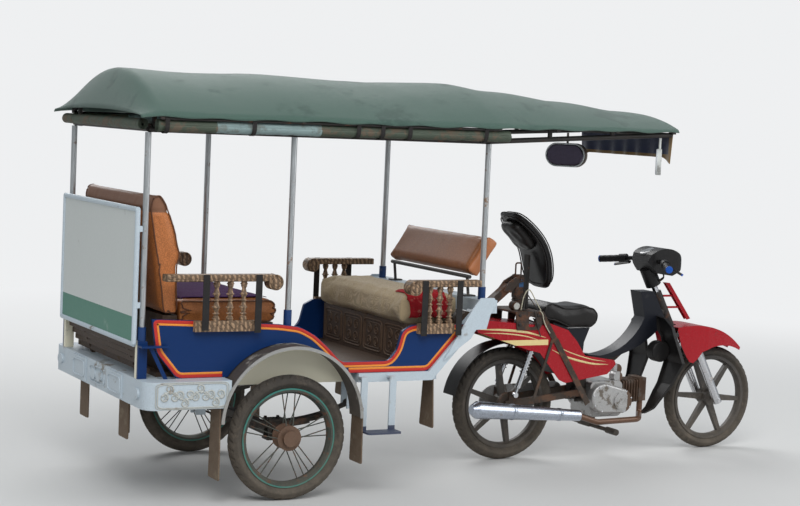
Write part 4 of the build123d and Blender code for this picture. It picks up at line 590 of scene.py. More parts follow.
def surface(name: str, points: np.ndarray, wrap_u: bool = False, wrap_v: bool = False) -> Piece:
    """A mesh from a grid of points: a quad between each point and its next ones along u and v.

    Args:
        name: name of the object.
        points: array of nu by nv by 3, in metres.
        wrap_u: whether the last row joins the first.
        wrap_v: whether the last column joins the first.

    Returns:
        The object, with a UV map that runs from 0 to 1 along u and v.
    """
    nu, nv = points.shape[:2]
    i, j = np.meshgrid(np.arange(nu if wrap_u else nu - 1), np.arange(nv if wrap_v else nv - 1), indexing="ij")
    k, m = (i + 1) % nu, (j + 1) % nv
    quads = np.stack([i * nv + j, k * nv + j, k * nv + m, i * nv + m], -1).reshape(-1, 4)
    mesh = bpy.data.meshes.new(name)
    mesh.from_pydata(points.reshape(-1, 3).tolist(), [], quads.tolist())
    share = np.stack([i, j, i + 1, j, i + 1, j + 1, i, j + 1], -1).reshape(-1, 4, 2).astype(float)
    share /= (max(nu - 1, 1), max(nv - 1, 1))
    mesh.uv_layers.new(name="UVMap").data.foreach_set("uv", share.ravel())
    mesh.polygons.foreach_set("use_smooth", np.ones(len(quads), bool))
    made = bpy.data.objects.new(name, mesh)
    bpy.context.scene.collection.objects.link(made)
    return made


def modifier(piece: Piece, kind: str, **values: object) -> bpy.types.Modifier:
    """Adds a modifier with its values set.

    Args:
        piece: the object that gets it.
        kind: Blender's name of its type.
        **values: its settings.

    Returns:
        The new modifier.
    """
    made = piece.modifiers.new(kind.title(), kind)
    for key, value in values.items():
        setattr(made, key, value)
    return made


def apply_all(piece: Piece) -> None:
    """Turns what the modifiers show into the piece's own mesh.

    Args:
        piece: an object with live modifiers.
    """
    view = bpy.context.evaluated_depsgraph_get()
    mesh = bpy.data.meshes.new_from_object(piece.evaluated_get(view))
    old = piece.data
    piece.modifiers.clear()
    piece.data = mesh
    mesh.name = piece.name
    bpy.data.meshes.remove(old)


def reshape(piece: Piece, kind: str, **values: object) -> None:
    """Adds a modifier and applies it."""
    modifier(piece, kind, **values)
    apply_all(piece)


def read(piece: Piece, what: str = "co") -> np.ndarray:
    """The points of a piece.

    Args:
        piece: the object.
        what: "co" for places or "normal" for normals.

    Returns:
        Array of n by 3.
    """
    flat = np.empty(len(piece.data.vertices) * 3)
    piece.data.vertices.foreach_get(what, flat)
    return flat.reshape(-1, 3)


def write(piece: Piece, points: np.ndarray) -> None:
    """Moves the points of a piece to new places."""
    piece.data.vertices.foreach_set("co", points.ravel())
    piece.data.update()


def outward(piece: Piece) -> Piece:
    """Merges a piece's doubles and turns every face outwards.

    Args:
        piece: a closed surface.

    Returns:
        The same piece.
    """
    work = bmesh.new()
    work.from_mesh(piece.data)
    bmesh.ops.remove_doubles(work, verts=work.verts, dist=1e-5)
    bmesh.ops.recalc_face_normals(work, faces=work.faces)
    work.to_mesh(piece.data)
    work.free()
    return piece


def dress(piece: Piece, finish: Finish, body: str, slot: str, *nodes: str) -> None:
    """Gives a finished piece its material and its body, and hides the nodes it stands for.

    Args:
        piece: the piece, in place.
        finish: what its surface is.
        body: the body that it moves with.
        slot: the record's material slot; not used.
        *nodes: CAD nodes that it replaces.
    """
    piece.data.materials.clear()
    piece.data.materials.append(finish.material())
    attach(piece, body)
    if nodes:
        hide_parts(*nodes)
    LOG.info("%s: %d faces on %s", piece.name, len(piece.data.polygons), body)


def tube(name: str, route: np.ndarray, radius: np.ndarray | float, sides: int = 8, closed: bool = False) -> Piece:
    """A round tube: circles of the given radius at right angles to a route, joined up.

    Args:
        name: name of the object.
        route: points of the centreline, n by 3.
        radius: one radius, or one for each point.
        sides: number of sides of a circle.
        closed: whether the route's end joins its start.

    Returns:
        The object; open ends are drawn in to a point.
    """
    radii = np.broadcast_to(np.asarray(radius, float), (len(route),))
    step = unit(np.roll(route, -1, 0) - np.roll(route, 1, 0) if closed else np.gradient(route, axis=0))
    if not closed:
        route, step = (np.vstack([line[:1], line, line[-1:]]) for line in (route, step))
        radii = np.concatenate([[1e-4], radii, [1e-4]])
    helper = np.where(np.abs(step[:, 2:3]) > 0.9, [[1.0, 0.0, 0.0]], [[0.0, 0.0, 1.0]])
    side = unit(np.cross(step, helper))
    up = np.cross(side, step)
    c, s = circle(sides)[..., None]
    ring = c * side[:, None] + s * up[:, None]
    return outward(surface(name, route[:, None] + ring * radii[:, None, None], closed, True))


def ribbon(name: str, route: np.ndarray, across: np.ndarray, out: np.ndarray, width: float, thick: float,
           closed: bool = False) -> Piece:
    """A flat strip along a route: a thin box section, rounded at its long edges, carried along.

    Args:
        name: name of the object.
        route: points of its middle line, n by 3.
        across: direction of its width, 3 or n by 3.
        out: direction of its thickness, 3 or n by 3.
        width: its full width.
        thick: its full thickness.
        closed: whether the route's end joins its start.

    Returns:
        The object; open ends are drawn in to a point.
    """
    shape = np.array([(-1, -0.4), (-0.9, -1), (0.9, -1), (1, -0.4), (1, 0.4), (0.9, 1), (-0.9, 1), (-1, 0.4)])
    a, b = (np.broadcast_to(np.asarray(way, float), route.shape) for way in (across, out))
    size = np.ones(len(route))
    if not closed:
        route, a, b = (np.vstack([line[:1], line, line[-1:]]) for line in (route, a, b))
        size = np.concatenate([[1e-3], size, [1e-3]])
    points = (route[:, None] + shape[None, :, :1] * (a * size[:, None])[:, None] * width / 2
              + shape[None, :, 1:] * (b * size[:, None])[:, None] * thick / 2)
    return outward(surface(name, points, closed, True))


def lathe(name: str, base: np.ndarray, axis: Sequence[float], profile: Line, sides: int = 48) -> Piece:
    """A turned piece: a profile of (place along the axis, radius) spun round the axis.

    Args:
        name: name of the object.
        base: where the axis starts.
        axis: its direction.
        profile: pairs of distance along the axis and radius, both in metres.
        sides: number of sides of a circle.

    Returns:
        The object, closed at both ends.
    """
    place, radius = np.array(profile).T
    axis = unit(np.asarray(axis, float))
    side = unit(np.cross(axis, (0.0, 0.0, 1.0) if abs(axis[2]) < 0.9 else (1.0, 0.0, 0.0)))
    c, s = circle(sides)[..., None]
    points = (base + place[:, None] * axis)[:, None] + radius[:, None, None] * (c * side + s * np.cross(axis, side))
    ends = [np.repeat(points[k].mean(0)[None, None], sides, 1) for k in (0, -1)]
    return outward(surface(name, np.concatenate([ends[0], points, ends[1]]), False, True))


# Cloth roof and curtains


@dataclass
class Roof:
    """The cloth roof, its rolled curtains and the valance at its front."""

    thick: float = 0.0035
    tail_x: float = AXLE_X - 0.725
    hip_x: float = AXLE_X - 0.640
    post_x: float = AXLE_X + 0.984
    nose_x: float = AXLE_X + 2.100
    ease: float = 0.05
    edge_z: tuple[float, ...] = (1.6455, 1.6485, 1.6495, 1.6500, 1.6575, 1.6715)
    crest_z: tuple[float, ...] = (1.6560, 1.758, 1.8425, 1.8435, 1.8470, 1.7490)
    half: float = 0.606
    nose_half: float = 0.436
    bows: tuple[float, ...] = (-0.725, -0.629, 0.011, 0.984, 1.33, 1.70, 2.07, 2.10)
    sag: float = 0.012
    wrinkle: float = 0.0045
    hem: float = 0.009
    roll_r: float = 0.0325
    roll_core: float = 0.007
    roll_turns: float = 4.5
    pinches: tuple[float, ...] = (0.02, 0.36, 0.62, 0.86)
    rail_off: tuple[float, float] = (0.028, 0.0274)
    rail_r: float = 0.0075
    ties: tuple[float, ...] = (0.02, 0.25, 0.54, 0.61, 0.69, 0.92)
    drop: float = 0.118
    drop_more: float = 0.03

    def build(self) -> None:
        """Makes every piece of the roof."""
        self.canopy()
        low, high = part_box("side_curtains")
        for side, label in SIDES.items():
            start = Vector((low.x, side * (high.y - self.roll_r), low.z + self.roll_r))
            end = Vector((high.x, side * (high.y - self.roll_r), high.z - self.roll_r))
            self.roll(f"curtain_roll_{label}", start, (end - start).normalized(), (end - start).length,
                      self.roll_r, side, ("side_curtains",) if side < 0 else ())
            for n, share in enumerate(self.ties):
                self.tie(f"curtain_tie_{label}_{n}", start.lerp(end, share), side)
        low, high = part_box("rear_curtain")
        start = Vector(((low.x + high.x) / 2, low.y, (low.z + high.z) / 2))
        self.roll("curtain_roll_rear", start, Vector((0, 1, 0)), high.y - low.y, (high.x - low.x) / 2, 1,
                  ("rear_curtain",))
        self.valance()

    def canopy(self) -> None:
        """The roof sheet: arcs across, with sag between the bows, a hip at the tail and wrinkles.

        At each x the section is the circle through both edges and the crest; v runs along that arc.
        """
        x = np.linspace(self.tail_x + 0.002, self.nose_x - 0.002, 330)
        stations = [self.tail_x, self.hip_x - self.ease, self.hip_x, self.hip_x + self.ease, self.post_x, self.nose_x]
        edge, crest = (np.interp(x, stations, line) for line in (self.edge_z, self.crest_z))
        crest = np.convolve(np.pad(crest, 2, mode="reflect", reflect_type="odd"), np.ones(5) / 5, mode="valid")
        half = np.interp(x, [self.post_x, self.nose_x], [self.half, self.nose_half])
        rise = crest - edge
        radius = (half**2 + rise**2) / (2 * rise)
        reach = np.arcsin(half / radius)
        v = np.linspace(-1, 1, 130)
        angle = reach[:, None] * v
        y = radius[:, None] * np.sin(angle)
        z = crest[:, None] - radius[:, None] * (1 - np.cos(angle))
        knots = AXLE_X + np.array(self.bows)
        cell = np.clip(np.searchsorted(knots, x) - 1, 0, len(knots) - 2)
        span = knots[cell + 1] - knots[cell]
        free = np.sin(np.pi * (x - knots[cell]) / span)[:, None] ** 2
        z -= self.sag * free * np.minimum(span / 0.8, 1)[:, None] * np.cos(v * 1.35)
        pull = smooth_noise(x[:, None] * 5, v[None] * 3, 3, 9, 1, 7)
        z += self.wrinkle * (pull - 0.3) * (0.2 + 0.8 * free) * (1 - 0.5 * np.abs(v))
        z -= np.clip((np.abs(v) - 0.975) / 0.025, 0, 1) * (self.hem + 0.003 * np.sin(x * 26.0)[:, None])
        piece = surface("roof_cloth", np.stack(np.broadcast_arrays(x[:, None], y, z), -1))
        reshape(piece, "SOLIDIFY", thickness=self.thick, offset=-1.0)
        dress(piece, CANOPY, "carriage", "canopy_cloth", "canopy")

    def roll(self, name: str, start: Vector, along: Vector, length: float, radius: float, side: int,
             nodes: tuple[str, ...]) -> None:
        """A curtain rolled up on itself: a spiral section whose radius grows with the turn, carried along.

        Args:
            name: name of the piece.
            start: the centre of its first end.
            along: its direction.
            length: its length.
            radius: its outer radius.
            side: -1 or 1, which way the spiral winds.
            nodes: nodes that it stands for.
        """
        s = np.linspace(0, 1, 220)[:, None]
        phi = np.linspace(0, 2 * np.pi * self.roll_turns, 150)
        grow = self.roll_core + (radius - 0.002 - self.roll_core) * phi / phi[-1]
        wave = smooth_noise(s * 22, phi[None] * 0.6, 11 + side, 9, 1, 6)
        crease = np.abs(smooth_noise(s * 60, phi[None] * 0.5, 31 + side, 5, 0.6, 2.2))
        r = grow * (0.94 + 0.05 * wave - 0.05 * np.exp(-crease * 12))
        r *= 1 - 0.1 * np.exp(-((s - np.array(self.pinches)) ** 2) / 0.0001).max(1, keepdims=True)
        across = np.array(Vector((0, 0, 1)).cross(along))
        points = (np.array(start) + s[..., None] * length * np.array(along)
                  + (r * np.cos(phi * side))[..., None] * across
                  + (r * np.sin(phi * side))[..., None] * np.array((0.0, 0.0, 1.0)))
        piece = surface(name, points)
        reshape(piece, "SOLIDIFY", thickness=0.0012, offset=0.0)
        dress(piece, ROLL_CLOTH, "carriage", "curtain_cloth", *nodes)

    def tie(self, name: str, middle: Vector, side: int) -> None:
        """A dark tape round the roll and the rail above it: the outline of both circles, one loop.

        Args:
            name: name of the piece.
            middle: the roll's centre there.
            side: -1 or 1.
        """
        way = np.insert(circle(72), 0, 0.0, axis=0).T
        hub, rail = np.array(middle), np.array(middle + Vector((0.0, side * self.rail_off[0], self.rail_off[1])))
        roll_r = self.roll_r + 0.001
        round_roll = way @ hub + roll_r > way @ rail + self.rail_r
        route = np.where(round_roll[:, None], hub + way * roll_r, rail + way * self.rail_r)
        dress(ribbon(name, route, (1, 0, 0), way, 0.02, 0.0018, True), WEBBING, "carriage", "strap_web")

    def valance(self) -> None:
        """The strip across the front: hangs from its top edge in shallow folds, longer at both ends."""
        low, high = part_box("front_valance")
        u = np.linspace(-1, 1, 160)[:, None]
        v = np.linspace(0, 1, 30)
        half = high.y - 0.002
        drop = self.drop + self.drop_more * np.clip((np.abs(u) - 0.8) / 0.2, 0, 1)
        x = (low.x + high.x) / 2 + 0.007 * np.sin(u * 21 + 0.6 * np.sin(u * 5)) * v
        points = np.stack([x, u * half * (1 - 0.01 * v), high.z - 0.002 - drop * v], -1)
        piece = surface("front_valance_cloth", points)
        reshape(piece, "SOLIDIFY", thickness=0.0025, offset=0.0)
        dress(piece, VALANCE_CLOTH, "carriage", "navy_cloth", "front_valance")


# Padded pieces


@dataclass
class Pad:
    """A stuffed piece grown from its CAD solid: remeshed, blown up a little as cloth, then smoothed."""

    node: str
    finish: Finish
    slot: str
    body: str = "carriage"
    voxel: float = 0.007
    shrink: float = 0.004
    cap: float = 0.010
    pressure: float = 4.0
    frames: int = 20
    fill: float = 0.7
    soften: int = 6
    settle: int = 12
    channels: tuple[tuple[int, float], ...] = ()
    channel_depth: float = 0.005
    channel_width: float = 0.009
    rumple: float = 0.0
    welts: tuple[float, ...] = ()
    welt_finish: Finish = BLACK_VINYL
    welt_r: float = 0.0032
    welt_points: int = 96

    def build(self) -> None:
        """Makes the pad."""
        piece = bpy.data.objects.new(f"{self.node}_pad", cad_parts[self.node].data.copy())
        bpy.context.scene.collection.objects.link(piece)
        outward(piece)
        reshape(piece, "REMESH", mode="VOXEL", voxel_size=self.voxel)
        reshape(piece, "SMOOTH", factor=0.5, iterations=self.soften)
        rest = read(piece) - read(piece, "normal") * self.shrink
        write(piece, rest)
        self.inflate(piece, rest)
        piece.data.polygons.foreach_set("use_smooth", np.ones(len(piece.data.polygons), bool))
        self.tool(piece)
        dress(piece, self.finish, self.body, self.slot, self.node)

    def inflate(self, piece: Piece, rest: np.ndarray) -> None:
        """Blows the pad up as cloth, and holds every point within the cap of where it began.

        Args:
            piece: the smoothed pad.
            rest: where its points are.
        """
        cloth = modifier(piece, "CLOTH").settings
        cloth.use_pressure = True
        cloth.uniform_pressure_force = self.pressure
        cloth.effector_weights.gravity = 0.0
        cloth.quality = 3
        scene = bpy.context.scene
        scene.frame_start, scene.frame_end = 1, self.frames
        for step in range(1, self.frames + 1):
            scene.frame_set(step)
        apply_all(piece)
        move = read(piece) - rest
        far = np.linalg.norm(move, axis=1, keepdims=True)
        write(piece, rest + move * np.minimum(1, self.cap / np.maximum(far, 1e-9)))
        scene.frame_set(1)
        reshape(piece, "SMOOTH", factor=0.5, iterations=self.settle)

    def tool(self, piece: Piece) -> None:
        """Presses the sewn channels in, rumples the cover and adds the piping.

        Args:
            piece: the inflated pad.
        """
        place = read(piece)
        depth = np.zeros(len(place))
        for axis, where in self.channels:
            depth += self.channel_depth * np.exp(-((place[:, axis] - where) / self.channel_width) ** 2)
        if self.rumple:
            wave = smooth_noise(place[:, 0] * 16, place[:, 1] * 16 + place[:, 2] * 9, 5, 9, 0.6, 3.2)
            crease = np.abs(smooth_noise(place[:, 0] * 30, place[:, 1] * 30, 8, 6, 0.5, 2.0))
            depth += self.rumple * (0.55 - wave - 0.5 * np.exp(-crease * 14))
        write(piece, place - read(piece, "normal") * depth[:, None])
        for n, where in enumerate(self.welts):
            self.welt(place, n, where)

    def welt(self, place: np.ndarray, number: int, where: float) -> None:
        """A bead of piping round the pad's section at one y: the outermost point in each direction, smoothed.

        Args:
            place: points of the pad.
            number: which bead it is.
            where: the y of the section.
        """
        near = place[np.abs(place[:, 1] - where) < self.voxel]
        hub = (near.min(0) + near.max(0)) / 2
        size = (near.max(0) - near.min(0)) / 2
        turn = np.arctan2((near[:, 2] - hub[2]) / size[2], (near[:, 0] - hub[0]) / size[0])
        far = np.hypot(near[:, 0] - hub[0], near[:, 2] - hub[2])
        bins = self.welt_points
        slot = ((turn + np.pi) / (2 * np.pi) * bins).astype(int) % bins
        best = np.array([far[slot == k].max() if (slot == k).any() else np.nan for k in range(bins)])
        known = ~np.isnan(best)
        index = np.arange(bins)
        best = np.interp(index, index[known], best[known], period=bins)
        best = (np.roll(best, 1) + 2 * best + np.roll(best, -1)) / 4
        angle = (index + 0.5) / bins * 2 * np.pi - np.pi
        way = unit(np.stack([np.cos(angle) * size[0], np.zeros(bins), np.sin(angle) * size[2]], -1))
        route = np.array((hub[0], where, hub[2])) + way * (best - 0.001)[:, None]
        dress(tube(f"{self.node}_welt_{number}", route, self.welt_r, 8, True), self.welt_finish, self.body, self.slot)


@dataclass
class Shell:
    """The rider's backrest: a thick glossy slab with rounded corners, piping, and a rumpled bolster behind."""

    middle: Line = ((1.6135, 0.862), (1.5595, 1.070), (1.4110, 1.2310))
    half: float = 0.132
    thick: float = 0.050
    square: float = 0.55
    bead_r: float = 0.0032
    # Share of the outline and place behind the middle of each bead
    bead_places: Line = ((1.0, 0.0), (0.93, -0.019), (0.93, 0.019))

    def bent(self, across: np.ndarray, up: np.ndarray, off: np.ndarray | float) -> np.ndarray:
        """Points of the slab, bent along its middle line.

        Args:
            across: their y.
            up: share of the slab's height, from 0 to 1.
            off: how far behind the middle line.

        Returns:
            Points of the frame.
        """
        line = curve(self.middle, 200)
        way = unit(np.gradient(line, axis=0))
        share = np.linspace(0, 1, len(line))
        x, z, way_x, way_z = (np.interp(up, share, row) for row in (*line.T, *way.T))
        return at(x - way_z * off, across, z + way_x * off)

    def cushion(self, name: str, low: float, high: float, half: float, swell: float, off: float,
                finish: Finish, rumple: float, *nodes: str) -> None:
        """A crowned pad: rings of a rounded rectangle from its middle to its rim, front and back.

        Args:
            name: name of the piece.
            low: share of the height at its foot.
            high: share of the height at its top.
            half: half its width.
            swell: its thickness at the middle.
            off: how far it stands behind the spine.
            finish: its surface.
            rumple: depth of its creases.
            *nodes: the node that it stands for.
        """
        ring = np.concatenate([np.linspace(0.001, 1, 40), np.linspace(1, 0.001, 40)])[:, None]
        face = np.repeat((1.0, -1.0), 40)[:, None]
        a, b = circle(160, self.square)[:, None] * ring
        depth = swell / 2 * face * (1 - ring**4) ** 0.42 * (1 - 0.06 * ring)
        depth = off + depth + rumple * smooth_noise(a * 3.5, b * 4.5, 12, 8, 0.8, 3.0) * (1 - ring**6)
        points = self.bent(half * a, (low + high) / 2 + (high - low) / 2 * b, depth)
        piece = outward(surface(name, points, False, True))
        dress(piece, finish, "motorcycle", "black_vinyl", *nodes)

    def build(self) -> None:
        """Makes the slab, its bolster and the piping round the rim."""
        self.cushion("driver_backrest_shell", 0.0, 1.0, self.half, self.thick, 0.0, GLOSS_SHELL, 0.0006,
                     "driver_backrest")
        self.cushion("driver_backrest_bolster", 0.50, 0.93, 0.085, 0.062, 0.036, BLACK_VINYL, 0.006)
        for n, (share, off) in enumerate(self.bead_places):
            a, b = circle(200, self.square) * share
            route = self.bent(self.half * a, 0.5 + 0.5 * b, off)
            dress(tube(f"driver_backrest_bead_{n}", route, self.bead_r, 8, True), BLACK_VINYL, "motorcycle",
                  "black_vinyl")


@dataclass
class Cloth:
    """A cloth laid over a pad: a grid bent along a route, drawn onto the pad and rumpled."""

    name: str
    pad: str
    finish: Finish
    slot: str
    route: Line
    across: tuple[float, float, float]
    width: float
    lift: float = 0.0025
    thick: float = 0.0022
    wave: float = 0.003
    hem: float = 0.02
    rows: int = 90
    columns: int = 110

    def build(self) -> None:
        """Makes the cloth: v follows the route and u the width, and gentle waves lift it off the pad."""
        rows, columns = self.rows, self.columns
        u = np.linspace(-0.5, 0.5, columns)
        edge = 0.006 * smooth_noise(np.linspace(0, 9, rows), np.zeros(rows), 21)
        reach = u * (self.width + edge[:, None])
        points = curve(self.route, rows)[:, None] + reach[..., None] * np.array(self.across)
        piece = surface(self.name, points + (AXLE_X, 0, 0))
        reshape(piece, "SHRINKWRAP", target=bpy.data.objects[f"{self.pad}_pad"], offset=self.lift,
                wrap_method="NEAREST_SURFACEPOINT", wrap_mode="ABOVE_SURFACE")
        place = read(piece).reshape(rows, columns, 3)
        normal = np.cross(np.gradient(place, axis=0), np.gradient(place, axis=1))
        normal /= np.linalg.norm(normal, axis=2, keepdims=True) + 1e-12
        normal *= np.sign(normal[rows // 2, columns // 2, 2]) or 1.0
        relief = self.wave * (0.6 + smooth_noise(u[None] * 22, np.linspace(0, 7, rows)[:, None], 17, 8, 0.7, 2.6))
        place = place + normal * np.maximum(relief, 0)[..., None]
        write(piece, place)
        reshape(piece, "SOLIDIFY", thickness=self.thick, offset=1.0)
        dress(piece, self.finish, "carriage", self.slot)


@dataclass
class Tyre:
    """A tyre with its moulded tread; it stands for the plain one of the frame."""

    node: str
    body: str
    hub: tuple[float, float, float]
    radius: float
    flange: float
    width: float
    tread: float
    seat: float
    blocks: int = 44
    depth: float = 0.0045
    # Lean and stagger of the cross grooves, how much of each block is whole, and the rib between the sides
    slant: float = 0.55
    stagger: float = 0.25
    whole: float = 0.62
    rib: float = 0.12
    # Place and width of the ring groove on each side, and width of the middle one, as shares of half the tread
    ring_place: float = 0.42
    ring_width: float = 0.05
    middle_width: float = 0.035
    # Height and rate of the fine lines on the side walls
    line: float = 0.0006
    line_rate: float = 1500.0
    wall_points: int = 26
    turn_points: int = 528

    def profile(self) -> tuple[np.ndarray, np.ndarray]:
        """The section: up one side wall, over the crown and down the other.

        Returns:
            Radius and place across of each point, and its share of the tread, which is over 1 on the walls.
        """
        reach = self.radius - self.flange
        shoulder, bulge = self.radius - 0.22 * reach, self.flange + 0.42 * reach
        wall = curve([(self.flange - 0.0108, self.seat / 2 - 0.0004), (self.flange + 0.0016, self.seat / 2 - 0.0002),
                      (bulge, self.width / 2), (shoulder, self.tread / 2)], self.wall_points)
        v = np.linspace(1, -1, 44)[1:-1]
        crown = np.stack([self.radius - (self.radius - shoulder) * np.abs(v) ** 2.2, v * self.tread / 2], -1)
        off = np.full(self.wall_points, 2.0)
        return np.concatenate([wall, crown, wall[::-1] * (1, -1)]), np.concatenate([off, v, off])

    def build(self) -> None:
        """Spins the section; the tread's grooves are cut by a pattern of angle and place across."""
        section, v = self.profile()
        radius, across = section.T
        turn = np.linspace(0, 2 * np.pi, self.turn_points, endpoint=False)[:, None]
        lean = turn * self.blocks / (2 * np.pi) + self.slant * np.abs(v) + self.stagger * np.sign(v)
        cross = np.clip(5.7 * (np.abs((lean % 1) - 0.5) * 2 - self.whole), 0, 1) * (np.abs(v) > self.rib)
        ring = (np.exp(-((np.abs(v) - self.ring_place) / self.ring_width) ** 2)
                + np.exp(-((v / self.middle_width) ** 2)))
        cut = np.where(v > 1.5, 0.0, np.clip(np.maximum(cross * (np.abs(v) < 0.97), ring), 0, 1))
        lip = self.line * np.sin(radius * self.line_rate) * (v > 1.5) * (radius > self.flange + 0.006)
        far = radius - self.depth * cut
        points = np.stack(np.broadcast_arrays(far * np.sin(turn), across * (1 - np.abs(lip) * 12),
                                              far * np.cos(turn)), -1)
        piece = outward(surface(f"{self.node}_tread", points + self.hub, True, True))
        dress(piece, RUBBER, self.body, "tyre_rubber", self.node)


# Paint, carving and trim


@dataclass
class Body:
    """Painted stripes, carving and mouldings on the carriage's panels, tail box and seat box."""

    panel_y: float = 0.5364
    top: Line = (
        (-0.505, 0.5413), (-0.600, 0.655), (-0.622, 0.794), (-0.443, 0.786), (-0.040, 0.764), (0.060, 0.750),
        (0.130, 0.714), (0.200, 0.655), (0.262, 0.592), (0.500, 0.592), (0.540, 0.640), (0.562, 0.725),
        (0.610, 0.750), (0.893, 0.750), (0.7025, 0.5413),
    )
    foot: tuple[tuple[float, float], tuple[float, float]] = ((-0.300, 0.5413), (0.300, 0.5413))
    corner: float = 0.028
    arch_z: float = 0.345
    arch_r: float = 0.344
    box_x: float = 0.6318
    box_z: float = 0.651
    box_panels: tuple[float, ...] = (-0.322, -0.107, 0.107, 0.322)
    tail_y: float = 0.6292
    tail_z: float = 0.482
    tail_x: float = -0.605
    stem: float = 0.275
    stem_wave: float = 0.017
    leaves: int = 12
    # Turns, outer and inner radius, first and last bead and place of a leaf's spiral
    leaf_turns: float = 1.5
    leaf_r: tuple[float, float] = (0.0190, 0.0040)
    leaf_bead: tuple[float, float] = (0.0052, 0.0022)
    leaf_off: float = 0.014
    # The same of a spiral on the seat box
    curl_turns: float = 1.4
    curl_r: tuple[float, float] = (0.024, 0.006)
    curl_bead: tuple[float, float] = (0.0042, 0.0024)
    curl_off: tuple[float, float] = (0.038, 0.026)
    # Name, inset, width and finish of each painted line
    stripes: tuple[tuple[str, float, float, Finish], ...] = (
        ("red", 0.0085, 0.014, RED_STRIPE), ("gold", 0.0200, 0.009, GOLD_STRIPE))
    # Middle x and y and half width of each moulded frame on the tail
    bumper_frames: Line = ((-0.682, -0.246, 0.078), (-0.682, 0.246, 0.078), (-0.676, 0.0, 0.10))
    bumper_half: float = 0.036
    bumper_bead: float = 0.0042
    # Half width, half height and bead of the frames on the seat box and on the tail's sides
    box_frames: Line = ((0.094, 0.072, 0.0042), (0.080, 0.058, 0.0028))
    side_frames: Line = ((0.155, 0.050, 0.0032), (0.163, 0.0555, 0.0022))

    def build(self) -> None:
        """Makes the stripes and the carving."""
        for side, label in SIDES.items():
            for name, inset, width, finish in self.stripes:
                edge = self.border(inset)
                route = at(edge[:, 0], side * self.panel_y, edge[:, 1])
                across = np.cross(unit(np.gradient(route, axis=0)), (0.0, 1.0, 0.0))
                dress(ribbon(f"{name}_stripe_{label}", route, across, (0, side, 0), width, 0.0012), finish,
                      "carriage", "white_paint")
            self.scrolls(side, label)
        for n, (x, y, half) in enumerate(self.bumper_frames):
            c, d = circle(96, 0.35)
            route = at(x, y + half * c, self.tail_z + self.bumper_half * d)
            dress(tube(f"bumper_frame_{n}", route, self.bumper_bead, 8, True), WHITE_PAINT, "carriage", "white_paint")
        self.seat_box()

    def border(self, inset: float) -> np.ndarray:
        """The panel's edge from the wheel arch round to the arch, corners rounded, moved inwards.

        Args:
            inset: how far inwards.

        Returns:
            Points of x from the axle and z.
        """
        line = np.array((self.foot[0], *self.top, self.foot[1]))
        step = unit(np.diff(line, axis=0))
        t = np.linspace(0, 1, 7)[None, :, None]
        corner = line[1:-1, None]
        before, after = corner - self.corner * step[:-1, None], corner + self.corner * step[1:, None]
        bend = (1 - t) ** 2 * before + 2 * t * (1 - t) * corner + t**2 * after
        line = np.vstack([line[:1], bend.reshape(-1, 2), line[-1:]])
        length = np.concatenate([[0], np.cumsum(np.linalg.norm(np.diff(line, axis=0), axis=1))])
        s = np.linspace(0, length[-1], 520)
        line = np.stack([np.interp(s, length, row) for row in line.T], -1)
        way = unit(np.gradient(line, axis=0))
        moved = line + np.stack([way[:, 1], -way[:, 0]], -1) * inset
        clear = np.hypot(moved[:, 0], moved[:, 1] - self.arch_z) > self.arch_r + inset * 0.2
        return moved[np.argmax(clear):len(clear) - np.argmax(clear[::-1])]

    def seat_box(self) -> None:
        """Carved panels on the rear face of the front seat's box: moulded frames round paired spirals."""
        a, b = circle(96, 0.25)
        for n, y in enumerate(self.box_panels):
            for m, (wide, high, bead) in enumerate(self.box_frames):
                route = at(self.box_x, y + wide * a, self.box_z + high * b)
                dress(tube(f"box_frame_{n}_{m}", route, bead, 8, True), BOX_CARVING, "carriage", "dark_wood")
            for m, (way, up) in enumerate(((1, 1), (-1, 1), (1, -1), (-1, -1))):
                c, d = spiral(50, self.curl_turns, *self.curl_r, up * np.pi / 2, up * way)
                route = at(self.box_x, y + way * self.curl_off[0] + c, self.box_z + up * self.curl_off[1] + d)
                dress(tube(f"box_scroll_{n}_{m}", route, np.linspace(*self.curl_bead, 50)), BOX_CARVING, "carriage",
                      "dark_wood")

    def scrolls(self, side: int, label: str) -> None:
        """A carved leaf scroll in a moulded frame on the tail box's side: spirals that spring from a wavy stem.

        Args:
            side: -1 or 1.
            label: the side's name.
        """
        y = side * self.tail_y

        def stem_z(share: np.ndarray | float) -> np.ndarray:
            """Height of the stem at a share of its length."""
            return self.tail_z + self.stem_wave * np.sin(share * 4 * np.pi)

        s = np.linspace(0, 1, 90)
        pieces = [(f"stem_{label}", at(self.tail_x + self.stem * s, y, stem_z(s)), 0.0045 - 0.0015 * s, False)]
        for n in range(self.leaves):
            share, way = (n + 0.5) / self.leaves, 1 if n % 2 else -1
            c, d = spiral(60, self.leaf_turns, *self.leaf_r, -way * np.pi / 2, way)
            route = at(self.tail_x + self.stem * share + c, y, stem_z(share) + way * self.leaf_off + d)
            pieces.append((f"scroll_{label}_{n}", route, np.linspace(*self.leaf_bead, 60), False))
        c, d = circle(120, 0.22)
        for n, (wide, high, bead) in enumerate(self.side_frames):
            route = at(self.tail_x + self.stem / 2 + wide * c, y, self.tail_z + high * d)
            pieces.append((f"side_frame_{label}_{n}", route, bead, True))
        for name, route, radius, closed in pieces:
            dress(tube(f"bumper_{name}", route, radius, 8, closed), CARVED_PAINT, "carriage", "white_paint")


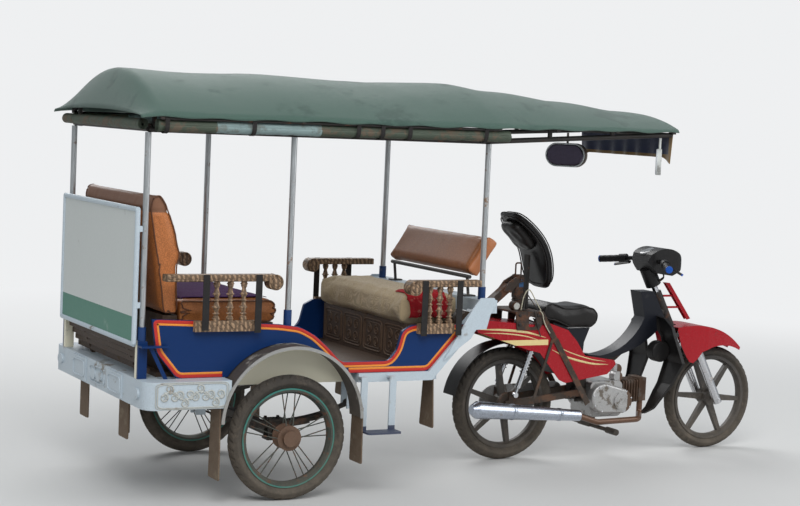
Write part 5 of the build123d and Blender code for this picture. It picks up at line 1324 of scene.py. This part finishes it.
@dataclass
class Armrest:
    """Carving and turned rings on one pair of armrests: scroll spirals, rail beads, spindle rings."""

    name: str
    rail: tuple[float, float]
    top: float
    spindles: tuple[float, ...]
    foot: tuple[float, float]
    foot_z: float
    faces: tuple[float, float] = (0.575, 0.515)
    rail_face: float = 0.5735
    foot_face: float = 0.5655
    spindle_y: float = 0.54965
    # Turns, outer and inner radius, first and last bead and depth under the top of the rail's spiral
    curl_turns: float = 2.1
    curl_r: tuple[float, float] = (0.031, 0.007)
    curl_bead: tuple[float, float] = (0.0036, 0.0024)
    curl_drop: float = 0.034
    bead_drops: tuple[float, float] = (0.024, 0.015)
    bead_r: float = 0.0022
    ring_r: float = 0.0026
    # Share of a spindle's height and radius of each turned ring
    rings: Line = ((0.05, 0.0148), (0.18, 0.0118), (0.34, 0.0152), (0.52, 0.0118), (0.68, 0.0148), (0.94, 0.0138))

    def build(self) -> None:
        """Makes the trim of both sides."""
        for side, label in SIDES.items():
            for name, route, radius, sides, closed in self.beads(side):
                dress(tube(f"{self.name}_{label}_{name}", route, radius, sides, closed), CARVED_WOOD, "carriage",
                      "carved_wood")

    def beads(self, side: int) -> list[tuple[str, np.ndarray, np.ndarray | float, int, bool]]:
        """The beads of one side.

        Args:
            side: -1 or 1.

        Returns:
            Name, route, radius, number of sides and whether it is closed, for each bead.
        """
        scroll, wind = (self.rail[1], 1) if self.rail[0] < 0 else (self.rail[0], -1)
        c, d = spiral(120, self.curl_turns, *self.curl_r, np.pi / 2, -wind)
        made = [(f"spiral_{n}", at(scroll + c, side * y, self.top - self.curl_drop + d),
                 np.linspace(*self.curl_bead, 120), 8, False) for n, y in enumerate(self.faces)]
        s = np.linspace(self.rail[0] + 0.006, self.rail[1] - 0.006, 60)
        made += [(f"bead_{n}", at(s, side * self.rail_face, self.top - low + 0.0006 * np.sin(s * 180)), self.bead_r,
                  6, False) for n, low in enumerate(self.bead_drops)]
        height = self.top - 0.030 - self.foot_z
        c, d = circle(32)
        made += [(f"ring_{n}_{m}", at(x + r * c, side * self.spindle_y + r * d, self.foot_z + share * height),
                  self.ring_r, 8, True) for n, x in enumerate(self.spindles) for m, (share, r) in enumerate(self.rings)]
        s = np.linspace(self.foot[0] + 0.02, self.foot[1] - 0.02, 90)
        wave = self.foot_z - 0.0225 + 0.010 * np.sin((s - s[0]) * 110)
        return made + [("wave", at(s, side * self.foot_face, wave), self.ring_r, 6, False)]


@dataclass
class Mirrors:
    """Glass and rim of the two long mirrors."""

    middle: tuple[float, float, float] = (1.9981, 0.4166, 1.515)
    size: tuple[float, float] = (0.222, 0.126)
    thick: float = 0.022
    turn: float = math.radians(36)
    glass_inset: float = 0.008
    glass_thick: float = 0.0012
    rim_inset: float = 0.004
    rim_r: float = 0.0045

    def oval(self, inset: float) -> np.ndarray:
        """A stadium: two half circles joined by straight runs.

        Args:
            inset: how far inside the mirror's edge.

        Returns:
            Points of y and z from its middle.
        """
        c, s = circle(96)
        r, run = self.size[1] / 2 - inset, (self.size[0] - self.size[1]) / 2
        return np.stack([r * c + run * np.sign(c) * np.minimum(1, np.abs(c) * 30), r * s], -1)

    def place(self, side: int, off: float, flat: np.ndarray) -> np.ndarray:
        """Takes points of the mirror's face into the frame.

        Args:
            side: -1 or 1.
            off: how far in front of the mirror's middle plane.
            flat: y and z of each point on the face.

        Returns:
            Points of the frame.
        """
        c, s = math.cos(self.turn), math.sin(self.turn)
        x, y, z = self.middle
        return at(x + c * off + s * flat[..., 0], side * (y + s * off - c * flat[..., 0]), z + flat[..., 1])

    def build(self) -> None:
        """Makes both mirrors' glass and rim."""
        for side, label in SIDES.items():
            share = np.linspace(0, 1, 12)[:, None, None]
            glass = self.place(side, -(self.thick + self.glass_thick) / 2, self.oval(self.glass_inset)[None] * share)
            piece = surface(f"mirror_glass_{label}", glass, False, True)
            reshape(piece, "SOLIDIFY", thickness=self.glass_thick, offset=0.0)
            dress(piece, MIRROR_GLASS, "carriage", "mirror_shell")
            rim = self.place(side, -self.thick / 2, self.oval(self.rim_inset))
            dress(tube(f"mirror_rim_{label}", rim, self.rim_r, 8, True), LENS, "carriage", "white_paint")


@dataclass
class Trim:
    """Small parts of the motorcycle and the hitch that the frame leaves plain."""

    cowl_y: float = 0.1263
    # Points of x and z, and the width, of each painted line
    swooshes: tuple[tuple[Line, float], ...] = (
        (((1.205, 0.668), (1.33, 0.664), (1.47, 0.650), (1.585, 0.622)), 0.012),
        (((1.225, 0.650), (1.34, 0.646), (1.46, 0.632), (1.56, 0.606)), 0.006),
        (((1.625, 0.560), (1.72, 0.520), (1.86, 0.486), (1.965, 0.478)), 0.010),
        (((1.64, 0.585), (1.73, 0.545), (1.86, 0.507), (1.95, 0.494)), 0.005),
    )
    muffler_ends: Line = ((1.182, -0.168, 0.282), (1.788, -0.150, 0.228))
    # Share of the muffler's length and radius of each band
    bands: Line = ((0.34, 0.03876), (0.80, 0.0314))
    band_width: float = 0.016
    band_thick: float = 0.002
    grip_end: tuple[float, float, float] = (2.175, 0.310, 0.975)
    bar_bend: tuple[float, float, float] = (2.268, 0.130, 0.996)
    # Where the ribs run on the grip, their radius, height and rate
    grip_span: tuple[float, float] = (0.004, 0.112)
    grip_r: float = 0.0174
    rib: float = 0.0012
    rib_rate: float = 700.0
    # x, z and radius of the engine's round covers, with the angles of their screws
    covers: tuple[tuple[float, float, float, tuple[float, ...]], ...] = (
        (1.952, 0.304, 0.066, (1.3, 2.1, 2.9, 3.7, 4.5)), (2.062, 0.288, 0.053, (-1.4, -0.6, 0.3, 1.2)))
    cover_y: float = -0.1315
    cap: tuple[float, float, float] = (2.052, -0.1388, 0.290)
    cap_rings: tuple[float, ...] = (0.036, 0.026, 0.016)
    cap_bead: float = 0.0018
    # Centre of the wire tied round the kingpin, its coil's radius, turns and climb, and its own radius
    tie_x: float = 1.484
    tie_z: float = 0.762
    tie_reach: float = 0.0285
    tie_turns: float = 3.2
    tie_climb: float = 0.00225
    tie_r: float = 0.0018
    cable_r: float = 0.0028
    control_r: float = 0.0032
    control_gap: float = 0.008
    cables: tuple[tuple[Line, Finish], ...] = (
        (((1.452, -0.118, 0.757), (1.470, -0.096, 0.800), (1.497, -0.060, 0.838), (1.522, -0.078, 0.800),
          (1.536, -0.118, 0.757)), WIRE),
        (((1.446, -0.104, 0.757), (1.478, -0.075, 0.823), (1.520, -0.055, 0.852), (1.548, -0.085, 0.790),
          (1.551, -0.121, 0.757)), CREAM_BOARD),
        (((1.505, -0.130, 0.757), (1.512, -0.139, 0.735), (1.520, -0.1365, 0.70), (1.533, -0.134, 0.668),
          (1.548, -0.1345, 0.63)), WIRE),
        (((1.540, -0.128, 0.757), (1.548, -0.142, 0.742), (1.560, -0.1375, 0.71), (1.578, -0.1375, 0.675),
          (1.600, -0.1375, 0.645)), CREAM_BOARD),
    )
    control: Line = ((2.292, 0.060, 0.950), (2.318, 0.061, 0.932), (2.330, 0.054, 0.908), (2.316, 0.037, 0.888))
    rack_bolts: Line = ((1.425, 0.735), (1.425, 0.690), (1.53, 0.735), (1.53, 0.690))
    cheek_y: float = 0.1322
    # Name, place, axis, profile, finish of each turned piece on the head cowl
    lenses: tuple[tuple[str, Line, Line, Finish], ...] = (
        ("lamp_glass", ((2.4335, 0.0, 0.985), (1, 0, 0)),
         ((0, 0.048), (0.003, 0.0465), (0.008, 0.039), (0.012, 0.026), (0.014, 0.010), (0.0143, 0.001)), LENS),
        ("lamp_rim", ((2.4325, 0.0, 0.985), (1, 0, 0)),
         ((0, 0.0505), (0.0035, 0.0515), (0.006, 0.0495), (0.0065, 0.047)), CHROME),
        ("dial_window", ((2.258, 0.0, 1.0405), (-0.38, 0, 0.92)),
         ((0, 0.040), (0.004, 0.0395), (0.0065, 0.036), (0.008, 0.022), (0.0085, 0.001)), DIAL),
    )

    def build(self) -> None:
        """Makes every piece of the trim."""
        for side, label in SIDES.items():
            self.swoosh(side, label)
            self.grip(side, label)
            for n, (x, z) in enumerate(self.rack_bolts):
                dress(lathe(f"rack_bolt_{label}_{n}", at(x, side * self.cheek_y, z), (0, side, 0),
                            ((0, 0.009), (0.004, 0.009), (0.005, 0.006)), 6), DARK_STEEL, "motorcycle", "dark_steel")
        self.muffler()
        self.cover()
        for name, (place, axis), profile, finish in self.lenses:
            dress(lathe(name, at(*place), axis, profile), finish, "steering", "chrome_plate")
        self.wires()

    def swoosh(self, side: int, label: str) -> None:
        """Cream lines that taper along the tail and the side cover.

        Args:
            side: -1 or 1.
            label: the side's name.
        """
        for n, (points, width) in enumerate(self.swooshes):
            x, z = curve(points, 50).T
            route = at(x, side * self.cowl_y, z)
            across = np.cross(unit(np.gradient(route, axis=0)), (0.0, 1.0, 0.0))
            across *= np.sin(np.linspace(0.15, np.pi - 0.15, 50))[:, None]
            dress(ribbon(f"swoosh_{label}_{n}", route, across, (0, side, 0), width, 0.001), CREAM_TRIM,
                  "motorcycle", "red_bodywork")

    def muffler(self) -> None:
        """Two band clamps round the muffler and the bolts that close them."""
        rear, front = (at(*end) for end in self.muffler_ends)
        way = unit(front - rear)
        side = unit(np.cross(way, (0.0, 0.0, 1.0)))
        up = np.cross(side, way)
        c, s = circle(48)[..., None]
        ring = c * side + s * up
        for n, (share, radius) in enumerate(self.bands):
            middle = rear + (front - rear) * share
            band = ribbon(f"muffler_band_{n}", middle + ring * radius, way, ring, self.band_width, self.band_thick,
                          True)
            dress(band, MUFFLER, "motorcycle", "chrome_plate")
            bolt = middle + side * (radius - 0.001) + up * 0.006
            dress(lathe(f"muffler_bolt_{n}", bolt, side, ((0, 0.0075), (0.005, 0.0075), (0.006, 0.005), (0.009, 0.005)),
                        6), MUFFLER, "motorcycle", "chrome_plate")

    def cover(self) -> None:
        """Screws round the engine's silver covers and the ribs of the cap."""
        spots = [(x + r * math.cos(a), z + r * math.sin(a)) for x, z, r, angles in self.covers for a in angles]
        for n, (x, z) in enumerate(spots):
            dress(lathe(f"cover_screw_{n}", at(x, self.cover_y, z), (0, -1, 0),
                        ((0, 0.0048), (0.0022, 0.0048), (0.0032, 0.0036)), 12), CHROME, "motorcycle", "chrome_plate")
        x, y, z = self.cap
        c, s = circle(64)
        for n, r in enumerate(self.cap_rings):
            dress(tube(f"cover_ring_{n}", at(x + r * c, y, z + r * s), self.cap_bead, 8, True), ENGINE_ALLOY,
                  "motorcycle", "engine_alloy")

    def grip(self, side: int, label: str) -> None:
        """Rubber ribs and blue end plug of one grip.

        Args:
            side: -1 or 1.
            label: the side's name.
        """
        end, bend = (at(x, side * y, z) for x, y, z in (self.grip_end, self.bar_bend))
        way = unit(bend - end)
        s = np.linspace(*self.grip_span, 70)
        radius = self.grip_r + self.rib * np.sin(s * self.rib_rate) ** 8
        dress(tube(f"grip_ribs_{label}", end + s[:, None] * way, radius, 20), BLACK_PLASTIC, "steering",
              "black_plastic")
        dress(lathe(f"grip_plug_{label}", end - way * 0.001, way, ((0, 0.012), (0.002, 0.0182), (0.007, 0.0182)), 24),
              BLUE_PLUG, "steering", "blue_paint")

    def wires(self) -> None:
        """The wire tied round the kingpin, the hinge's cables and the control cables up to the head cowl."""
        turn = np.linspace(0, 2 * np.pi * self.tie_turns, 140)
        route = at(self.tie_x + self.tie_reach * np.cos(turn), self.tie_reach * np.sin(turn),
                   self.tie_z + self.tie_climb * turn)
        dress(tube("kingpin_wire", route, self.tie_r, 6), WIRE, "motorcycle", "dark_steel")
        for n, (points, finish) in enumerate(self.cables):
            dress(tube(f"hitch_cable_{n}", at(*curve(points, 60).T), self.cable_r), finish, "motorcycle", "dark_steel")
        x, y, z = curve(self.control, 40).T
        for side, label in SIDES.items():
            for n, lift in enumerate((0.0, self.control_gap)):
                dress(tube(f"control_cable_{label}_{n}", at(x, side * y, z + lift), self.control_r), WIRE,
                      "steering", "black_plastic")


# The whole


@dataclass
class Studio:
    """Floor, backdrop colour, lamps and the camera of the photograph."""

    place: tuple[float, float, float] = (-4.344, -7.642, 1.702)
    yaw: float = math.radians(-27.862)
    pitch: float = math.radians(4.455)
    roll: float = math.radians(2.545)
    lens: float = 81.40
    pale: Colour = (0.86, 0.87, 0.88)
    ground: Colour = (0.62, 0.62, 0.61)
    sky: Colour = (0.9, 0.95, 1.0)
    reach: float = 60.0
    fade: tuple[float, float] = (2.5, 8.0)
    floor_rough: float = 0.9
    sky_light: float = 0.45
    lamp_size: float = 5.0
    lamp_aim: float = 0.8
    lamps: tuple[tuple[str, tuple[float, float, float], float], ...] = (
        ("key", (-3.5, -6.0, 6.5), 420.0), ("fill", (5.5, -4.5, 4.0), 200.0), ("back", (0.5, 6.0, 5.5), 300.0))

    def build(self) -> None:
        """Sets up everything that isn't the vehicle."""
        self.camera()
        self.floor()
        self.world()
        for name, place, power in self.lamps:
            lamp = bpy.data.lights.new(name, "AREA")
            lamp.energy, lamp.size = power, self.lamp_size
            made = bpy.data.objects.new(name, lamp)
            made.location = place
            aim = Vector((0, 0, self.lamp_aim)) - Vector(place)
            made.rotation_euler = aim.to_track_quat("-Z", "Y").to_euler()
            bpy.context.scene.collection.objects.link(made)

    def camera(self) -> None:
        """Places the camera where the photograph was taken from."""
        a, e, r = self.yaw, self.pitch, self.roll
        back = Vector((math.sin(a) * math.cos(e), -math.cos(a) * math.cos(e), math.sin(e)))
        right = Vector((math.cos(a), math.sin(a), 0.0))
        up = back.cross(right)
        right, up = right * math.cos(r) + up * math.sin(r), up * math.cos(r) - right * math.sin(r)
        lens = bpy.data.cameras.new("photo_camera")
        lens.lens = self.lens
        lens.sensor_width = 36.0
        made = bpy.data.objects.new("photo_camera", lens)
        turn = Matrix((right, up, back)).transposed().to_4x4()
        made.matrix_world = Matrix.Translation(self.place) @ turn
        bpy.context.scene.collection.objects.link(made)
        bpy.context.scene.camera = made

    def floor(self) -> None:
        """A wide pale floor that keeps the shadow near the object and fades into the backdrop."""
        corners = np.array([[[-1, -1, 0], [-1, 1, 0]], [[1, -1, 0], [1, 1, 0]]])
        plane = surface("floor", self.reach * corners)
        stuff = bpy.data.materials.new("floor")
        graph = Graph(stuff)
        shader = graph.tree.nodes["Principled BSDF"]
        graph.put(self.ground, shader.inputs["Base Color"])
        graph.put(self.floor_rough, shader.inputs["Roughness"])
        glow = graph.node("ShaderNodeEmission", Color=(*self.pale, 1))
        where = graph.node("ShaderNodeTexCoord").outputs["Object"]
        length = graph.node("ShaderNodeVectorMath", where, operation="LENGTH").outputs["Value"]
        seen = graph.node("ShaderNodeLightPath").outputs["Is Camera Ray"]
        share = graph.math("MULTIPLY", seen, graph.ramp(length, *self.fade))
        mix = graph.node("ShaderNodeMixShader", share, shader.outputs[0], glow.outputs[0])
        graph.link(mix.outputs[0], graph.tree.nodes["Material Output"].inputs["Surface"])
        plane.data.materials.append(stuff)

    def world(self) -> None:
        """A soft grey sky for light, shown pale to the camera."""
        world = bpy.data.worlds.new("studio")
        bpy.context.scene.world = world
        graph = Graph(world)
        light = graph.tree.nodes["Background"]
        graph.put(self.sky, light.inputs["Color"])
        graph.put(self.sky_light, light.inputs["Strength"])
        shown = graph.node("ShaderNodeBackground", Color=(*self.pale, 1))
        seen = graph.node("ShaderNodeLightPath").outputs["Is Camera Ray"]
        mix = graph.node("ShaderNodeMixShader", seen, light.outputs[0], shown.outputs[0])
        graph.link(mix.outputs[0], graph.tree.nodes["World Output"].inputs["Surface"])
        bpy.context.scene.view_settings.view_transform = "Standard"


def dress_nodes() -> None:
    """Gives each carried-over CAD node its finish."""
    for finish, names in NODE_FINISH.items():
        for name in names.split():
            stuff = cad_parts[name].data.materials
            stuff.clear()
            stuff.append(finish.material())


def main() -> None:
    """Builds the dressed vehicle, piece by piece, and the studio round it."""
    logging.basicConfig(level=logging.INFO, format="%(name)s %(message)s")
    dress_nodes()
    Studio().build()
    for piece in (
        Roof(), Body(),
        Armrest("rear_arm", (-0.577, -0.080), 0.984, (-0.344, -0.282, -0.220), (-0.440, -0.142), 0.786),
        Armrest("front_arm", (0.602, 0.940), 0.954, (0.686, 0.738, 0.790), (0.632, 0.812), 0.758),
        Mirrors(), Trim(),
        Tyre("wheel_right_tyre", "wheel_right", (AXLE_X, -0.564, 0.274), 0.274, 0.218, 0.076, 0.054, 0.044),
        Tyre("wheel_left_tyre", "wheel_left", (AXLE_X, 0.564, 0.274), 0.274, 0.218, 0.076, 0.054, 0.044),
        Tyre("bike_rear_tyre", "rear_wheel", (0.308, 0.0, 0.281), 0.281, 0.222, 0.080, 0.056, 0.046),
        Tyre("bike_front_tyre", "front_wheel", (1.573, 0.0, 0.271), 0.271, 0.222, 0.066, 0.046, 0.040),
        Pad("rear_seat_cushion", SEAT_VINYL, "vinyl_orange", cap=0.008, welts=(-0.441, 0.441), rumple=0.001,
            welt_finish=BROWN_VINYL),
        Pad("rear_backrest", REAR_BACK, "vinyl_orange", cap=0.007, channels=((2, 1.238),), welts=(-0.441, 0.441),
            rumple=0.001, welt_finish=BROWN_VINYL),
        Pad("front_seat_cushion", BEIGE_CLOTH, "beige_cover", cap=0.016, fill=0.5, rumple=0.005, soften=24,
            settle=4),
        Pad("front_backrest", FRONT_BACK, "vinyl_brown", cap=0.008, channels=((1, -0.385), (1, 0.385)),
            rumple=0.001),
        Pad("rider_seat", BLACK_VINYL, "black_vinyl", "motorcycle", 0.005, cap=0.006, settle=24,
            welts=(-0.105, 0.105)),
        Shell(),
        Cloth("purple_mat", "rear_seat_cushion", PURPLE_MAT, "vinyl_brown",
              ((-0.452, 0.0, 0.93), (-0.445, 0.0, 0.875), (-0.40, 0.0, 0.866), (-0.25, 0.0, 0.866),
               (-0.10, 0.0, 0.866), (-0.05, 0.0, 0.864)), (0, 1, 0), 0.80),
        Cloth("red_cover", "front_seat_cushion", RED_CLOTH, "beige_cover",
              ((0.74, -0.30, 0.878), (0.74, -0.40, 0.878), (0.74, -0.448, 0.862), (0.742, -0.453, 0.82),
               (0.744, -0.453, 0.765)), (1, 0, 0), 0.20, wave=0.004),
    ):
        piece.build()


if __name__ == "__main__":
    main()
